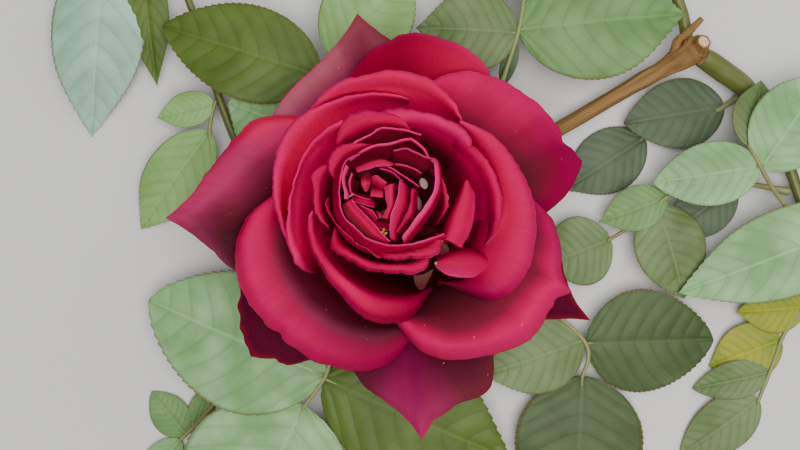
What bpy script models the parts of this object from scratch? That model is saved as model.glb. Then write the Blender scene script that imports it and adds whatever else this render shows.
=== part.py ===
"""A cut flowering shoot of a garden rose, lying down with its open bloom turned up.

One double bloom sits on a short stem that grows from a length of old woody cane.
Compound leaves grow from the stem and the cane and spread under the bloom, and
their lowest tips rest on the ground with the cane. Lengths in the tables are
millimetres and angles are degrees; the objects are in metres.
"""

import math
from collections import namedtuple

import bmesh
import bpy
from mathutils import Matrix, Vector

MM = 0.001

# ---------------------------------------------------------------- driving sizes
BLOOM_SEAT = (-4.0, 1.0, 35.0)  # centre of the bloom's receptacle
BLOOM_LEAN_Y = 8.0              # the bloom nods this far towards +Y
BLOOM_LEAN_X = 1.0
PETAL_THICK = 0.7
LEAF_THICK = 0.6
ORIGIN_SHIFT = (-32.1, 0.5)     # puts the middle of the shoot's footprint at the origin

# Petals leave the receptacle in a spiral: each level starts a little further in and up.
CLAW_LOWEST = (10.4, 0.3)       # radius and height of level 0
CLAW_STEP = (-0.62, 0.75)
CLAW_SPREAD = 0.45              # share of a petal's width at its claw
BLADE_SPREADS_BY = 0.45         # share of its length where it is at its full width

# The profile of a petal passes through these stations between its claw and its margin.
# The first two are shares of the way out to the wall and of the fold's height. The next
# two are shares of the flare beyond the wall and of the fold's height.
BELLY, FLANK = (0.50, 0.10), (0.86, 0.36)
WALL, SHOULDER = (0.02, 0.70), (0.34, 0.95)
BRIM = (0.78, 0.12)             # shares of the flare and of the margin's drop
SIDE_POWER = 2.5                # how late the fold's height changes towards a petal's sides
SIDE_DROP = 0.5                 # share of the drop that is left at a petal's sides

# name, claw level, first and last azimuth, margin radii evenly spaced between them,
# fold height at the first side, middle and last side, wall radius at both sides,
# how far the margin hangs below the fold, and the point (azimuth, reach, width)
Petal = namedtuple("Petal", "name level start end reach crest wall drop point")

OUTER_PETALS = [
    Petal("guard_petal_top", 0, 56, 152, (38, 45, 48, 46, 44, 40), (10, 12, 9), (27, 27), 2.0, (98, 59, 8)),
    Petal("guard_petal_left", 1, 124, 214, (32, 44, 48, 49, 45, 38),
          (14, 17, 12), (27, 26), 3.0, (181, 60, 7)),
    Petal("guard_petal_lower_left", 0, 194, 250, (40, 47, 51, 49, 40),
          (8, 9, 8), (28, 27), 1.5, (226, 53.5, 4)),
    Petal("guard_petal_bottom", 0, 252, 313, (40, 47, 51, 54, 55, 42),
          (9, 12, 10), (27, 27), 2.5, (279, 62, 5)),
    Petal("guard_petal_right", 0, 317, 367, (44, 51, 51, 47, 41),
          (8, 10, 8), (27, 27), 1.5, (333, 63.5, 4)),
    Petal("skirt_petal_top", 2, 43, 113, (44, 51, 52, 51, 44, 35), (13, 16, 15), (29, 28), 2.5, None),
    Petal("skirt_petal_right", 3, -8, 80, (38, 51, 52, 50, 45, 34),
          (17, 21, 19), (31, 25), 3.5, (15, 55.5, 5)),
    Petal("bowl_petal_left", 4, 166, 288, (27, 38, 43, 44, 44, 44, 41, 32),
          (22, 26, 19), (27, 29), 6.0, None),
    Petal("bowl_petal_right", 5, 268, 371, (26, 40, 46, 51, 49, 45, 36),
          (27, 31, 27), (25.5, 29), 7.5, (335, 53.5, 5)),
    Petal("cup_petal_top", 6, 47, 137, (30.5, 33, 34, 33, 33, 31), (33, 40, 31), (30, 30.5), 2.0, None),
    Petal("cup_petal_right", 7, 303, 414, (24, 37, 40, 38.5, 36, 33, 30.5, 26.5),
          (33, 38, 37), (24.5, 26), 7.0, None),
    Petal("cup_petal_left", 8, 82, 216, (28, 29, 29.5, 31.5, 30.5, 29, 27.5, 27),
          (38, 39, 32), (25.5, 26), 3.0, None),
    Petal("inner_petal_left", 9, 108, 224, (23, 24, 24, 23.5, 24.5, 27, 28),
          (38, 41, 37), (21.5, 24), 2.5, None),
    Petal("inner_petal_right", 9, 339, 401, (28.5, 29.5, 29, 28, 27, 25),
          (37, 41, 36), (23.3, 22.8), 3.0, None),
    Petal("inner_petal_lower", 10, 186, 302, (20.5, 22, 23.5, 26, 30, 30.5, 24),
          (34, 38, 34), (18.7, 21.5), 5.0, None),
]

# The heart's petals run into one another near the receptacle, so they are one solid.
HEART_PETALS = [
    Petal("arch_right", 12, 34, 100, (25, 25.5, 24.5, 23.5, 22, 20), (40, 42, 38), (19.5, 19), 1.5, None),
    Petal("arch_left", 13, 68, 136, (20, 22, 23, 21, 18.5), (37, 42, 36), (18.5, 18.5), 1.0, None),
    Petal("arch_inner", 14, 66, 136, (18, 18.5, 18, 17.5, 16), (38, 43, 38), (16, 16), 1.0, None),
    Petal("lobe_left", 13, 104, 156, (15, 16, 18.5, 17.5, 14), (38, 43, 38), (14, 14.5), 1.5, None),
    Petal("strip_upper", 12, 146, 200, (15, 18, 17.5, 17, 16), (34, 41, 36), (15.5, 15.5), 0.5, None),
    Petal("strip_lower", 13, 168, 234, (17, 17.5, 17.5, 18, 17.5), (34, 40, 34), (16.5, 16.5), 0.5, None),
    Petal("fold_lower", 12, 212, 312, (16, 18, 18.6, 18.4, 20, 19), (35, 41, 36), (14.5, 16), 3.0, None),
    Petal("fold_inner", 13, 262, 327, (14, 15.4, 16.4, 18.5, 16), (36, 42, 37), (12.5, 14), 2.5, None),
    Petal("flap_right", 12, 325, 378, (19, 21.2, 21.4, 21.2, 20), (36, 41, 36), (16, 16), 4.0, None),
    Petal("flap_lower", 14, 306, 334, (20, 25, 28, 26), (33, 38, 35), (17.5, 21), 4.0, None),
    Petal("curtain_right", 13, 338, 395, (14, 15.5, 15, 14.5, 14), (34, 43, 40), (14, 13.5), 0.0, None),
    Petal("ring_top", 14, 36, 122, (13.5, 15, 15.4, 14, 13.5, 12.5), (42, 47, 43), (13, 12.5), 0.3, None),
    Petal("ring_left", 12, 112, 240, (13, 13.6, 12.4, 11.8, 11.6, 11), (42, 46, 42), (11.5, 11), 0.3, None),
    Petal("ring_lower", 13, 176, 272, (14.4, 12.6, 11.8, 12.4, 15), (41, 43, 40), (12, 12.5), 0.3, None),
    Petal("ring_bottom", 14, 214, 331, (11.2, 11.4, 11.4, 12.4, 14.4, 15.6),
          (42, 45, 40), (10.6, 12), 0.3, None),
    Petal("ring_right", 12, 286, 446, (11.5, 10.4, 11, 12.6, 14, 14, 12.8, 11.6),
          (43, 48, 44), (9.6, 10.6), 0.3, None),
]

PETALOIDS = 9             # small crowded petals, each a turn further round and out than the last
PETALOID_TURN = 137.5
PETALOID_RADII = (3.0, 7.6)
PETALOID_HEIGHTS = (37.5, 42.5)
PETALOID_SPANS = (95, 75)
HEART_FACE_SPAN = 24      # degrees covered by one face of a heart petal
HEART_FACES_ALONG = 4
HEART_CORE = (3.4, 2.0, 8.2, 16.0)   # radius at its foot and top, heights of its foot and top
PETAL_GRID = (8, 5)       # faces across and along an outer petal

# The hip and the receptacle above it, as (radius, height) on the bloom's axis.
HIP_PROFILE = (
    (0, -13), (2.3, -13), (3.3, -11.8), (5.2, -8.6), (5.6, -6.4), (5.0, -3.8), (4.8, -2.9),
    (6.5, -1.9), (9.4, -1.5), (10.5, -1.1), (10.4, -0.55), (4.3, 6.85), (0, 7.4),
)
HIP_SIDES = 12
SEPALS = 5
SEPAL_SPINE = ((5.5, -3.1), (9.0, -2.7), (14.0, -3.2), (20.0, -6.0), (26.0, -11.0))
SEPAL_WIDTHS = (6.0, 8.0, 7.0, 4.0, 0.8)
SEPAL_THICK = 0.8
SEPAL_TURN = 0.35         # radians from +X to the first sepal
SEPAL_SAG = 1.0           # fall of a sepal's edges below its middle
SEPAL_GRID = (2, 5)

# ------------------------------------------------------------------------ stems
# name, points along its middle, radii evenly spaced along it, the direction that
# its cross-section is turned to, and the number of lengths it is faceted into
Stem = namedtuple("Stem", "name points radii sideways parts")
STEM_SIDES = 8
UP = (0, 0, 1)
ACROSS_CANE = (-0.51, 0.86, 0)
CANE = Stem(
    "cane",
    ((-38, -21, 2.42), (-12, -5.9, 2.42), (20, 12.7, 2.8), (52, 31.3, 4.4), (78, 46.5, 7.2),
     (87, 51.6, 9.0), (91.6, 54.8, 10.6), (92.8, 56.0, 15.0)),
    (2.6, 2.6, 2.5, 2.4, 2.6, 3.8, 3.6, 2.2), ACROSS_CANE, 16)
FLOWER_STEM = Stem(
    "flower_stem",
    ((-14.4, -7.3, 6.6), (-11.8, -5.7, 9.6), (-8, -3.5, 13.7), (-4.9, -1.9, 17.5), (-4.2, -0.9, 21.5)),
    (2.3, 1.9, 1.9, 2.0, 2.2), ACROSS_CANE, 6)
SIDE_SHOOT = Stem(
    "side_shoot",
    ((93.9, 52.1, 8.7), (101, 48.2, 6.2), (109.6, 42.0, 4.4), (117.8, 29.8, 4),
     (124.3, 12.5, 5), (128.7, -4.7, 6), (133.1, -20.4, 5.5), (137, -34, 5)),
    (3.1, 3.6, 3.1, 2.2, 1.8, 1.6, 1.4, 1.2), UP, 14)
UPPER_SHOOT = Stem(
    "upper_shoot", ((89.5, 58.1, 7.3), (88.1, 66, 7.3), (84.8, 75, 7.4), (81.5, 84, 7.2)),
    (2.0, 1.9, 1.8, 1.7), UP, 5)
LEFT_SHOOT = Stem(
    "left_shoot",
    ((-29.85, -13.0, 3.1), (-38, 0, 4.6), (-46, 14, 5.8), (-56, 38, 6.5), (-63, 62, 7.5),
     (-68, 76, 8.5), (-72, 90, 9)),
    (1.5, 1.4, 1.3, 1.3, 1.2, 1.1, 0.9), UP, 9)
DRY_SPUR = Stem(
    "dry_spur", ((85.6, 56.9, 10.2), (89.6, 60.2, 11.0), (93, 63.6, 12.0)), (1.3, 1.2, 0.9), UP, 3)

# ----------------------------------------------------------------------- leaves
# A leaflet runs from its base to its tip, with its middle arched up over the chord
# and its blade rolled about the midrib (a positive roll lifts the side at its left).
Leaflet = namedtuple("Leaflet", "share tip width arch roll")   # share: how far along the stalk it grows
Leaf = namedtuple("Leaf", "name stalk leaflets")
STALK_RADII = (0.95, 0.8, 0.7, 0.6)
LEAVES = [
    Leaf("leaf_bottom_left", ((-18.3, -13.4, 3.4), (-20, -24, 9),
                              (-21, -37, 12), (-23, -46.5, 12), (-30, -56.5, 11)), [
        Leaflet(0.75, (-78, -23.3, 9), 43, 3, 0),
        Leaflet(0.77, (35, -73, 8.5), 40, 3, 0),
        Leaflet(0.97, (-56, -107, 0.8), 54, 5, 0),
    ]),
    Leaf("leaf_bottom_right", ((16.6, 7.2, 3.4), (26, -5, 7), (42, -22, 8), (58, -37, 7), (57, -48, 6)), [
        Leaflet(0.75, (99, -36, 3.2), 33, 1, -8),
        Leaflet(0.73, (25.5, -47, 8), 23, 2, 0),
        Leaflet(0.97, (55, -94, 0.4), 40, 3, 0),
    ]),
    Leaf("leaf_top", ((20.4, 16.9, 3.6), (27, 32, 10), (32, 46, 14), (36, 59, 16), (37.7, 69, 16)), [
        Leaflet(0.76, (88, 65, 12), 35, 3, 0),
        Leaflet(0.74, (5, 60, 16), 25, 2, 0),
        Leaflet(0.97, (40, 107, 6), 30, 4, 0),
        Leaflet(0.70, (31, 41.5, 10), 5, 1, 0),
    ]),
    Leaf("leaf_top_left", ((-11.6, -2.1, 3.2), (-18, 10, 9), (-23, 26, 12.3),
                           (-24.5, 45, 14.6), (-21, 52, 14.5)), [
        Leaflet(0.50, (-53.5, 38, 10.2), 32, 3, 0),
        Leaflet(0.76, (-73, 61, 12.5), 29, 3, 0),
        Leaflet(0.97, (4, 80, 9), 28, 3, 0),
    ]),
    Leaf("leaf_left", ((-46.2, 9.9, 5.7), (-52, 13, 6), (-57.5, 19, 7),
                       (-59.3, 29, 8), (-57.2, 38.5, 9.8)), [
        Leaflet(0.75, (-82.6, -1.6, 0.4), 20, 3, 0),
        Leaflet(0.97, (-76, 33.5, 7), 11, 1, 0),
    ]),
    Leaf("leaf_right", ((127.0, -0.1, 8.4), (123.5, 1.8, 8.8), (119, 6, 10.8),
                        (113.5, 12, 14), (109.6, 17.9, 16),
                        (106, 24.5, 15.6)), [
        Leaflet(0.80, (78.3, 13, 10), 20, 2, 0),
        Leaflet(0.97, (112, 45, 10), 14, 1, 0),
        Leaflet(0.78, (130, 47, 14.5), 24, 2, 0),
    ]),
    Leaf("leaf_far_right", ((137.9, -29, 6.2), (143, -14, 9), (144, 0, 12), (144, 8, 13)), [
        Leaflet(0.72, (86.6, -21.2, 8.5), 27, 3, 0),
        Leaflet(0.70, (172, -8, 3), 22, 3, 0),
        Leaflet(0.97, (149, 44, 6), 24, 3, 0),
    ]),
    Leaf("leaf_middle_right", ((122.2, 10.5, 4.6), (106, 13, 7), (92, 11, 8),
                               (83, 8.6, 8), (76, 2, 6.6), (65, -5, 5.2)), [
        Leaflet(0.60, (62.5, 1, 6), 14, 1.5, 0),
        Leaflet(0.68, (89, -23, 6), 22, 2, 0),
        Leaflet(0.97, (45, -13, 2.5), 22, 2, 0),
        Leaflet(0.22, (84, -4, 3.5), 17, 2, 0),
    ]),
    Leaf("leaf_far_left", ((-70.7, 77.4, 8.7), (-76, 83.5, 10.5), (-84, 87, 11), (-91, 86, 10.4)), [
        Leaflet(0.97, (-98, 28, 0.4), 29, 4, 0),
        Leaflet(0.50, (-76.5, 44, 4.5), 13, 2, 0),
    ]),
    Leaf("leaf_lower_right", ((131.9, -23.5, 5.3), (127, -26, 5),
                              (121, -34, 4.4), (117, -45, 4), (113, -56, 3)), [
        Leaflet(0.23, (106, -27.5, 3.6), 15, 1, 0),
        Leaflet(0.55, (98, -45, 0.6), 18, 1, 0),
        Leaflet(0.78, (93, -52, 1.2), 12, 1, 0),
        Leaflet(0.97, (89, -73.5, 0.4), 17, 1, 0),
    ]),
    Leaf("leaf_dark_right", ((106.5, 40.2, 2.5), (99, 35.5, 2.2), (88, 31, 1.6), (77, 27.5, 1.4)), [
        Leaflet(0.20, (70.5, 32, 4.6), 22, 1.5, 0),
        Leaflet(0.97, (52, 11, 0.4), 20, 0.6, 0),
    ]),
    Leaf("leaf_small_left", ((-31.0, -21.2, 2.4), (-45, -38, 2.2), (-60, -58, 1.9), (-70, -68.5, 1.8)), [
        Leaflet(0.90, (-79, -53, 0.8), 12, 0.5, 0),
        Leaflet(0.80, (-60.5, -51, 1.0), 8, 0.4, 0),
        Leaflet(0.98, (-84, -84, 0.4), 11, 0.5, 0),
    ]),
]
LEAFLET_GRID = (2, 5)     # faces across and along each leaflet
STALK_SIDES = 5
BLUNT_END = 0.985         # a leaflet's blade is as narrow as it gets this far along
NARROWEST = 0.02          # and that is this share of its width
EDGE_DROOP = 0.06         # fall of a leaflet's edges for each millimetre out from the midrib

ROSE_RED = (0.50, 0.005, 0.045, 1.0)
LEAF_GREEN = (0.16, 0.27, 0.12, 1.0)
STEM_GREEN = (0.22, 0.28, 0.08, 1.0)
BARK_BROWN = (0.27, 0.16, 0.07, 1.0)


# ------------------------------------------------------------------- materials
def finish(name, colour, roughness):
    """A plain Principled material."""
    material = bpy.data.materials.new(name)
    material.use_nodes = True
    shader = material.node_tree.nodes["Principled BSDF"]
    shader.inputs["Base Color"].default_value = colour
    shader.inputs["Roughness"].default_value = roughness
    shader.inputs["Metallic"].default_value = 0.0
    return material


# --------------------------------------------------------------- shared helpers
def smooth_between(values, share):
    """Catmull-Rom through evenly spaced values, at a share 0 to 1 of the way."""
    last = len(values) - 1
    place = min(max(share, 0.0), 1.0) * last
    i = min(int(place), last - 1)
    t = place - i
    a, b = values[max(i - 1, 0)], values[i]
    c, d = values[i + 1], values[min(i + 2, last)]
    return b + 0.5 * t * (c - a + t * (2 * a - 5 * b + 4 * c - d + t * (3 * (b - c) + d - a)))


def smooth_point(points, share):
    return Vector([smooth_between([p[axis] for p in points], share) for axis in range(3)])


def clear_scene():
    for obj in list(bpy.data.objects):
        bpy.data.objects.remove(obj, do_unlink=True)


def new_object(name, bm, material, parent):
    mesh = bpy.data.meshes.new(name)
    bm.to_mesh(mesh)
    bm.free()
    mesh.materials.append(material)
    obj = bpy.data.objects.new(name, mesh)
    bpy.context.scene.collection.objects.link(obj)
    obj.parent = parent
    return obj


def thicken(obj, thickness):
    solid = obj.modifiers.new("thickness", "SOLIDIFY")
    solid.thickness = thickness * MM
    solid.offset = 0.0
    solid.use_even_offset = False
    return obj


def drop_scraps(mesh):
    """Keep only the largest of a mesh's separate bodies."""
    bm = bmesh.new()
    bm.from_mesh(mesh)
    unseen = set(bm.verts)
    bodies = []
    while unseen:
        body, front = set(), [unseen.pop()]
        while front:
            vert = front.pop()
            body.add(vert)
            near = {edge.other_vert(vert) for edge in vert.link_edges} & unseen
            unseen -= near
            front.extend(near)
        bodies.append(body)
    bodies.sort(key=len)
    for body in bodies[:-1]:
        bmesh.ops.delete(bm, geom=list(body), context="VERTS")
    bm.to_mesh(mesh)
    bm.free()


def fused(name, pieces, material, parent):
    """One solid from several overlapping pieces, which are removed."""
    group = bpy.data.collections.new(name + "_pieces")
    bpy.context.scene.collection.children.link(group)
    base = pieces[0]
    for piece in pieces[1:]:
        group.objects.link(piece)
    join = base.modifiers.new("join", "BOOLEAN")
    join.operation = "UNION"
    join.solver = "MANIFOLD"
    join.operand_type = "COLLECTION"
    join.collection = group
    bpy.context.view_layer.update()
    graph = bpy.context.evaluated_depsgraph_get()
    mesh = bpy.data.meshes.new_from_object(base.evaluated_get(graph))
    for piece in pieces:
        bpy.data.objects.remove(piece, do_unlink=True)
    bpy.data.collections.remove(group)
    drop_scraps(mesh)
    mesh.name = name
    mesh.materials.clear()
    mesh.materials.append(material)
    obj = bpy.data.objects.new(name, mesh)
    bpy.context.scene.collection.objects.link(obj)
    obj.parent = parent
    return obj


# ----------------------------------------------------------------------- petals
def petal_azimuth(petal, across):
    """Azimuth of a petal's line, 0 to 1 across it. The middle line runs to its point."""
    middle = petal.point[0] if petal.point else (petal.start + petal.end) / 2
    if across < 0.5:
        return petal.start + (middle - petal.start) * across * 2
    return middle + (petal.end - middle) * (across - 0.5) * 2


def petal_reach(petal, azimuth):
    """Radius of the margin at an azimuth."""
    share = (azimuth - petal.start) / (petal.end - petal.start)
    reach = smooth_between(petal.reach, share)
    if petal.point:
        at, tip, width = petal.point
        under = smooth_between(petal.reach, (at - petal.start) / (petal.end - petal.start))
        reach += (tip - under) * math.exp(-abs(azimuth - at) / width)
    return reach


def petal_claw(petal):
    """Radius and height where a petal leaves the receptacle."""
    return tuple(low + petal.level * step for low, step in zip(CLAW_LOWEST, CLAW_STEP))


def petal_stations(petal, across):
    """(radius, height) of seven stations from the claw to the margin."""
    side = across * 2 - 1
    crest_at_side = petal.crest[0] if side < 0 else petal.crest[2]
    crest = petal.crest[1] + (crest_at_side - petal.crest[1]) * abs(side) ** SIDE_POWER
    drop = petal.drop * (1 - (1 - SIDE_DROP) * abs(side) ** 3)
    wall = petal.wall[0] + (petal.wall[1] - petal.wall[0]) * across
    reach = petal_reach(petal, petal_azimuth(petal, across))
    foot, root = petal_claw(petal)
    swell, flare, rise = wall - foot, reach - wall, crest - root
    stations = [(foot, root)]
    stations += [(foot + out * swell, root + up * rise) for out, up in (BELLY, FLANK)]
    stations += [(wall + out * flare, root + up * rise) for out, up in (WALL, SHOULDER)]
    stations += [(wall + BRIM[0] * flare, crest - BRIM[1] * drop), (reach, crest - drop)]
    return stations


def petal_point(petal, across, along):
    """A point of the petal's middle surface, in metres, on the bloom's axes."""
    stations = petal_stations(petal, across)
    radius = smooth_between([s[0] for s in stations], along)
    height = smooth_between([s[1] for s in stations], along)
    middle = petal_azimuth(petal, 0.5)
    spread = CLAW_SPREAD + (1 - CLAW_SPREAD) * min(1.0, along / BLADE_SPREADS_BY)
    angle = math.radians(middle + (petal_azimuth(petal, across) - middle) * spread)
    return Vector((radius * math.cos(angle), radius * math.sin(angle), height)) * MM


def petal_sheet(petal, across_parts, along_parts, material, parent):
    bm = bmesh.new()
    bmesh.ops.create_grid(bm, x_segments=across_parts, y_segments=along_parts, size=0.5)
    for vert in bm.verts:
        vert.co = petal_point(petal, vert.co.x + 0.5, vert.co.y + 0.5)
    bmesh.ops.recalc_face_normals(bm, faces=bm.faces)
    return thicken(new_object(petal.name, bm, material, parent), PETAL_THICK)


def petaloid(index):
    """One of the small petals crowded round the hollow."""
    outward = index / (PETALOIDS - 1)
    radius = smooth_between(PETALOID_RADII, outward)
    height = smooth_between(PETALOID_HEIGHTS, outward)
    start = index * PETALOID_TURN
    end = start + smooth_between(PETALOID_SPANS, outward)
    reach = (radius, radius + 0.6, radius + 0.3)
    crest = (height - 3, height, height - 2)
    wall = (radius - 0.4, radius + 0.2)
    return Petal(f"petaloid_{index}", 12 + index % 3, start, end, reach, crest, wall, 0.0, None)


# ------------------------------------------------------------- receptacle, sepals
def build_hip(green, seat):
    bm = bmesh.new()
    ring = [bm.verts.new((radius * MM, 0, height * MM)) for radius, height in HIP_PROFILE]
    edges = [bm.edges.new(pair) for pair in zip(ring, ring[1:])]
    bmesh.ops.spin(bm, geom=ring + edges, axis=(0, 0, 1), cent=(0, 0, 0), steps=HIP_SIDES,
                   angle=math.tau, use_merge=True)
    bmesh.ops.remove_doubles(bm, verts=bm.verts, dist=0.01 * MM)
    bmesh.ops.recalc_face_normals(bm, faces=bm.faces)
    new_object("hip", bm, green, seat)


def build_sepals(green, seat):
    for number in range(SEPALS):
        turn = Matrix.Rotation(math.tau * number / SEPALS + SEPAL_TURN, 4, "Z")
        bm = bmesh.new()
        bmesh.ops.create_grid(bm, x_segments=SEPAL_GRID[0], y_segments=SEPAL_GRID[1], size=0.5)
        for vert in bm.verts:
            along = vert.co.y + 0.5
            radius = smooth_between([s[0] for s in SEPAL_SPINE], along)
            height = smooth_between([s[1] for s in SEPAL_SPINE], along)
            half = smooth_between(SEPAL_WIDTHS, along) * vert.co.x
            vert.co = turn @ (Vector((radius, half, height - SEPAL_SAG * abs(vert.co.x))) * MM)
        bmesh.ops.recalc_face_normals(bm, faces=bm.faces)
        thicken(new_object(f"sepal_{number + 1}", bm, green, seat), SEPAL_THICK)


# ---------------------------------------------------------------- stems and leaves
def tube(name, points, radii, sideways, sides, parts, material, parent):
    """A closed tube on a smooth line through the points, from a grid rolled round it."""
    bm = bmesh.new()
    bmesh.ops.create_grid(bm, x_segments=sides, y_segments=parts, size=0.5)
    for vert in bm.verts:
        along = vert.co.y + 0.5
        angle = math.tau * (vert.co.x + 0.5 + 0.5 / sides)
        ahead, behind = smooth_point(points, along + 0.01), smooth_point(points, along - 0.01)
        tangent = (ahead - behind).normalized()
        side = Vector(sideways).cross(tangent).normalized()
        over = tangent.cross(side)
        spoke = side * math.cos(angle) + over * math.sin(angle)
        vert.co = (smooth_point(points, along) + spoke * smooth_between(radii, along)) * MM
    bmesh.ops.remove_doubles(bm, verts=bm.verts, dist=0.01 * MM)
    bmesh.ops.holes_fill(bm, edges=bm.edges)
    bmesh.ops.recalc_face_normals(bm, faces=bm.faces)
    return new_object(name, bm, material, parent)


def blade_half_width(along):
    """Half width of an egg-shaped blade as a share of its full width."""
    return max(0.5 * math.sin(math.pi * min(along, BLUNT_END) ** 0.82) ** 0.75, NARROWEST)


def leaflet_blade(name, leaflet, base, material, parent):
    tip = Vector(leaflet.tip)
    run = (tip - base).normalized()
    across = run.cross(Vector(UP)).normalized()
    across = Matrix.Rotation(math.radians(-leaflet.roll), 3, run) @ across
    over = across.cross(run)
    bm = bmesh.new()
    bmesh.ops.create_grid(bm, x_segments=LEAFLET_GRID[0], y_segments=LEAFLET_GRID[1], size=0.5)
    for vert in bm.verts:
        along = vert.co.y + 0.5
        reach = blade_half_width(along) * 2 * vert.co.x * leaflet.width
        rise = leaflet.arch * math.sin(math.pi * along) - EDGE_DROOP * abs(reach)
        vert.co = (base.lerp(tip, along) + across * reach + over * rise) * MM
    bmesh.ops.recalc_face_normals(bm, faces=bm.faces)
    return thicken(new_object(name, bm, material, parent), LEAF_THICK)


def build_leaf(leaf, material, parent):
    parts = 2 * len(leaf.stalk) - 2
    pieces = [tube(leaf.name + "_stalk", leaf.stalk, STALK_RADII, UP, STALK_SIDES, parts, material, parent)]
    for number, leaflet in enumerate(leaf.leaflets):
        base = smooth_point(leaf.stalk, leaflet.share)
        pieces.append(leaflet_blade(f"{leaf.name}_blade_{number}", leaflet, base, material, parent))
    fused(leaf.name, pieces, material, parent)


def build_stem(stem, material, parent):
    tube(stem.name, stem.points, stem.radii, stem.sideways, STEM_SIDES, stem.parts, material, parent)


# ------------------------------------------------------------------------ bloom
def build_bloom(red, seat):
    for petal in OUTER_PETALS:
        petal_sheet(petal, *PETAL_GRID, red, seat)
    bm = bmesh.new()
    wide, narrow, foot, top = (size * MM for size in HEART_CORE)
    bmesh.ops.create_cone(bm, cap_ends=True, segments=10, radius1=wide, radius2=narrow, depth=top - foot,
                          matrix=Matrix.Translation((0, 0, (foot + top) / 2)))
    pieces = [new_object("heart_core", bm, red, seat)]
    for petal in HEART_PETALS + [petaloid(index) for index in range(PETALOIDS)]:
        across_parts = max(4, round((petal.end - petal.start) / HEART_FACE_SPAN))
        pieces.append(petal_sheet(petal, across_parts, HEART_FACES_ALONG, red, seat))
    fused("bloom_heart", pieces, red, seat)


def main():
    clear_scene()
    red = finish("petal_red", ROSE_RED, 0.6)
    leaf_green = finish("leaf_green", LEAF_GREEN, 0.5)
    stem_green = finish("stem_green", STEM_GREEN, 0.5)
    bark = finish("old_bark", BARK_BROWN, 0.8)
    shoot = bpy.data.objects.new("shoot", None)
    bpy.context.scene.collection.objects.link(shoot)
    shoot.location = (ORIGIN_SHIFT[0] * MM, ORIGIN_SHIFT[1] * MM, 0)
    seat = bpy.data.objects.new("bloom_seat", None)
    bpy.context.scene.collection.objects.link(seat)
    seat.parent = shoot
    seat.location = Vector(BLOOM_SEAT) * MM
    seat.rotation_euler = (math.radians(-BLOOM_LEAN_Y), math.radians(BLOOM_LEAN_X), 0)
    build_bloom(red, seat)
    build_hip(stem_green, seat)
    build_sepals(stem_green, seat)
    for stem in (CANE, DRY_SPUR):
        build_stem(stem, bark, shoot)
    for stem in (FLOWER_STEM, SIDE_SHOOT, UPPER_SHOOT, LEFT_SHOOT):
        build_stem(stem, stem_green, shoot)
    for leaf in LEAVES:
        build_leaf(leaf, leaf_green, shoot)


main()
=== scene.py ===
# %% [markdown]
# # A cut flowering rose shoot, lying down
# A single velvety crimson bloom faces straight up. Its petals are thin sheets that leave
# one small receptacle in a spiral, stand up as a cup and roll outwards at their margins.
# Old brown cane, green shoots and grey-green compound leaves lie under it. The packed
# solids give every place and size, and each solid here is replaced by a finer piece that
# is shaped by the same formulas, so the finish sits where the solid is.

# %% Load the frame
import math
from collections import namedtuple

import bmesh
import bpy
from mathutils import Euler, Matrix, Vector, noise


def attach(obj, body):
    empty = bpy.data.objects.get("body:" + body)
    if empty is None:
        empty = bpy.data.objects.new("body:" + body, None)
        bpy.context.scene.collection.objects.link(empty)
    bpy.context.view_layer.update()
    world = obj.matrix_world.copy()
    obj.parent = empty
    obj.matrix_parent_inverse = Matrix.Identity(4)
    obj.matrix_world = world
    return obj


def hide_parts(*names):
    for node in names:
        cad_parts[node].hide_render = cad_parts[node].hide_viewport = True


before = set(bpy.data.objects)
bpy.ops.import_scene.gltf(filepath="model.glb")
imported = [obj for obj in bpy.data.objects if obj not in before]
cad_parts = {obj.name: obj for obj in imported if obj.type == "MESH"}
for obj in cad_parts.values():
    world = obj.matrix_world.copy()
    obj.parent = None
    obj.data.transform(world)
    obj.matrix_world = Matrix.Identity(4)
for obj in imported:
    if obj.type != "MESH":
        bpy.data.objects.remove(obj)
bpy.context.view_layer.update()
MM = 0.001
print("solids:", len(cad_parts))

# %% [markdown]
# ## Where things stand
# The whole shoot is laid out about the bloom in millimetres, then moved so that the middle
# of its footprint is the origin. The bloom sits on its own tilted axes, because it nods a
# little away from the lower leaves. Two matrices hold these placings. Objects could be
# moved and turned instead, but a piece whose place is in its mesh keeps its patterns where
# they are when it is exported.

# %% Placings
SHOOT_SHIFT = (-32.1, 0.5, 0)     # from the bloom's middle to the footprint's middle
BLOOM_SEAT = (-4.0, 1.0, 35.0)    # where the receptacle stands on the shoot's axes
BLOOM_NOD = (-8, 1, 0)            # turns about X, Y and Z in degrees
SHOOT = Matrix.Translation(Vector(SHOOT_SHIFT) * MM)
NOD = Euler([math.radians(turn) for turn in BLOOM_NOD]).to_matrix().to_4x4()
BLOOM = SHOOT @ Matrix.Translation(Vector(BLOOM_SEAT) * MM) @ NOD
UP = Vector((0, 0, 1))
print("bloom seat at", tuple(round(v / MM, 2) for v in BLOOM.translation), "mm")

# %% [markdown]
# ## Smooth lines and steady noise
# Margins, walls, stems and sepals are all smooth lines through a few chosen values. A
# curve object could give them, but a formula can be asked for any point, also between
# two lines. Living things also waver. Blender's noise gives the same value in every run
# for the same place and seed, so nothing here is left to chance.

# %% Smooth lines and noise
WANDER_STEP = 7.31                # keeps the noise of two seeds apart


def smooth_between(values, share):
    """Catmull-Rom through evenly spaced values, at a share 0 to 1 of the way."""
    last = len(values) - 1
    place = min(max(share, 0.0), 1.0) * last
    i = min(int(place), last - 1)
    t = place - i
    a, b = values[max(i - 1, 0)], values[i]
    c, d = values[i + 1], values[min(i + 2, last)]
    return b + 0.5 * t * (c - a + t * (2 * a - 5 * b + 4 * c - d + t * (3 * (b - c) + d - a)))


def smooth_point(points, share):
    """The same for points, one axis at a time."""
    return Vector([smooth_between([p[axis] for p in points], share) for axis in range(3)])


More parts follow.
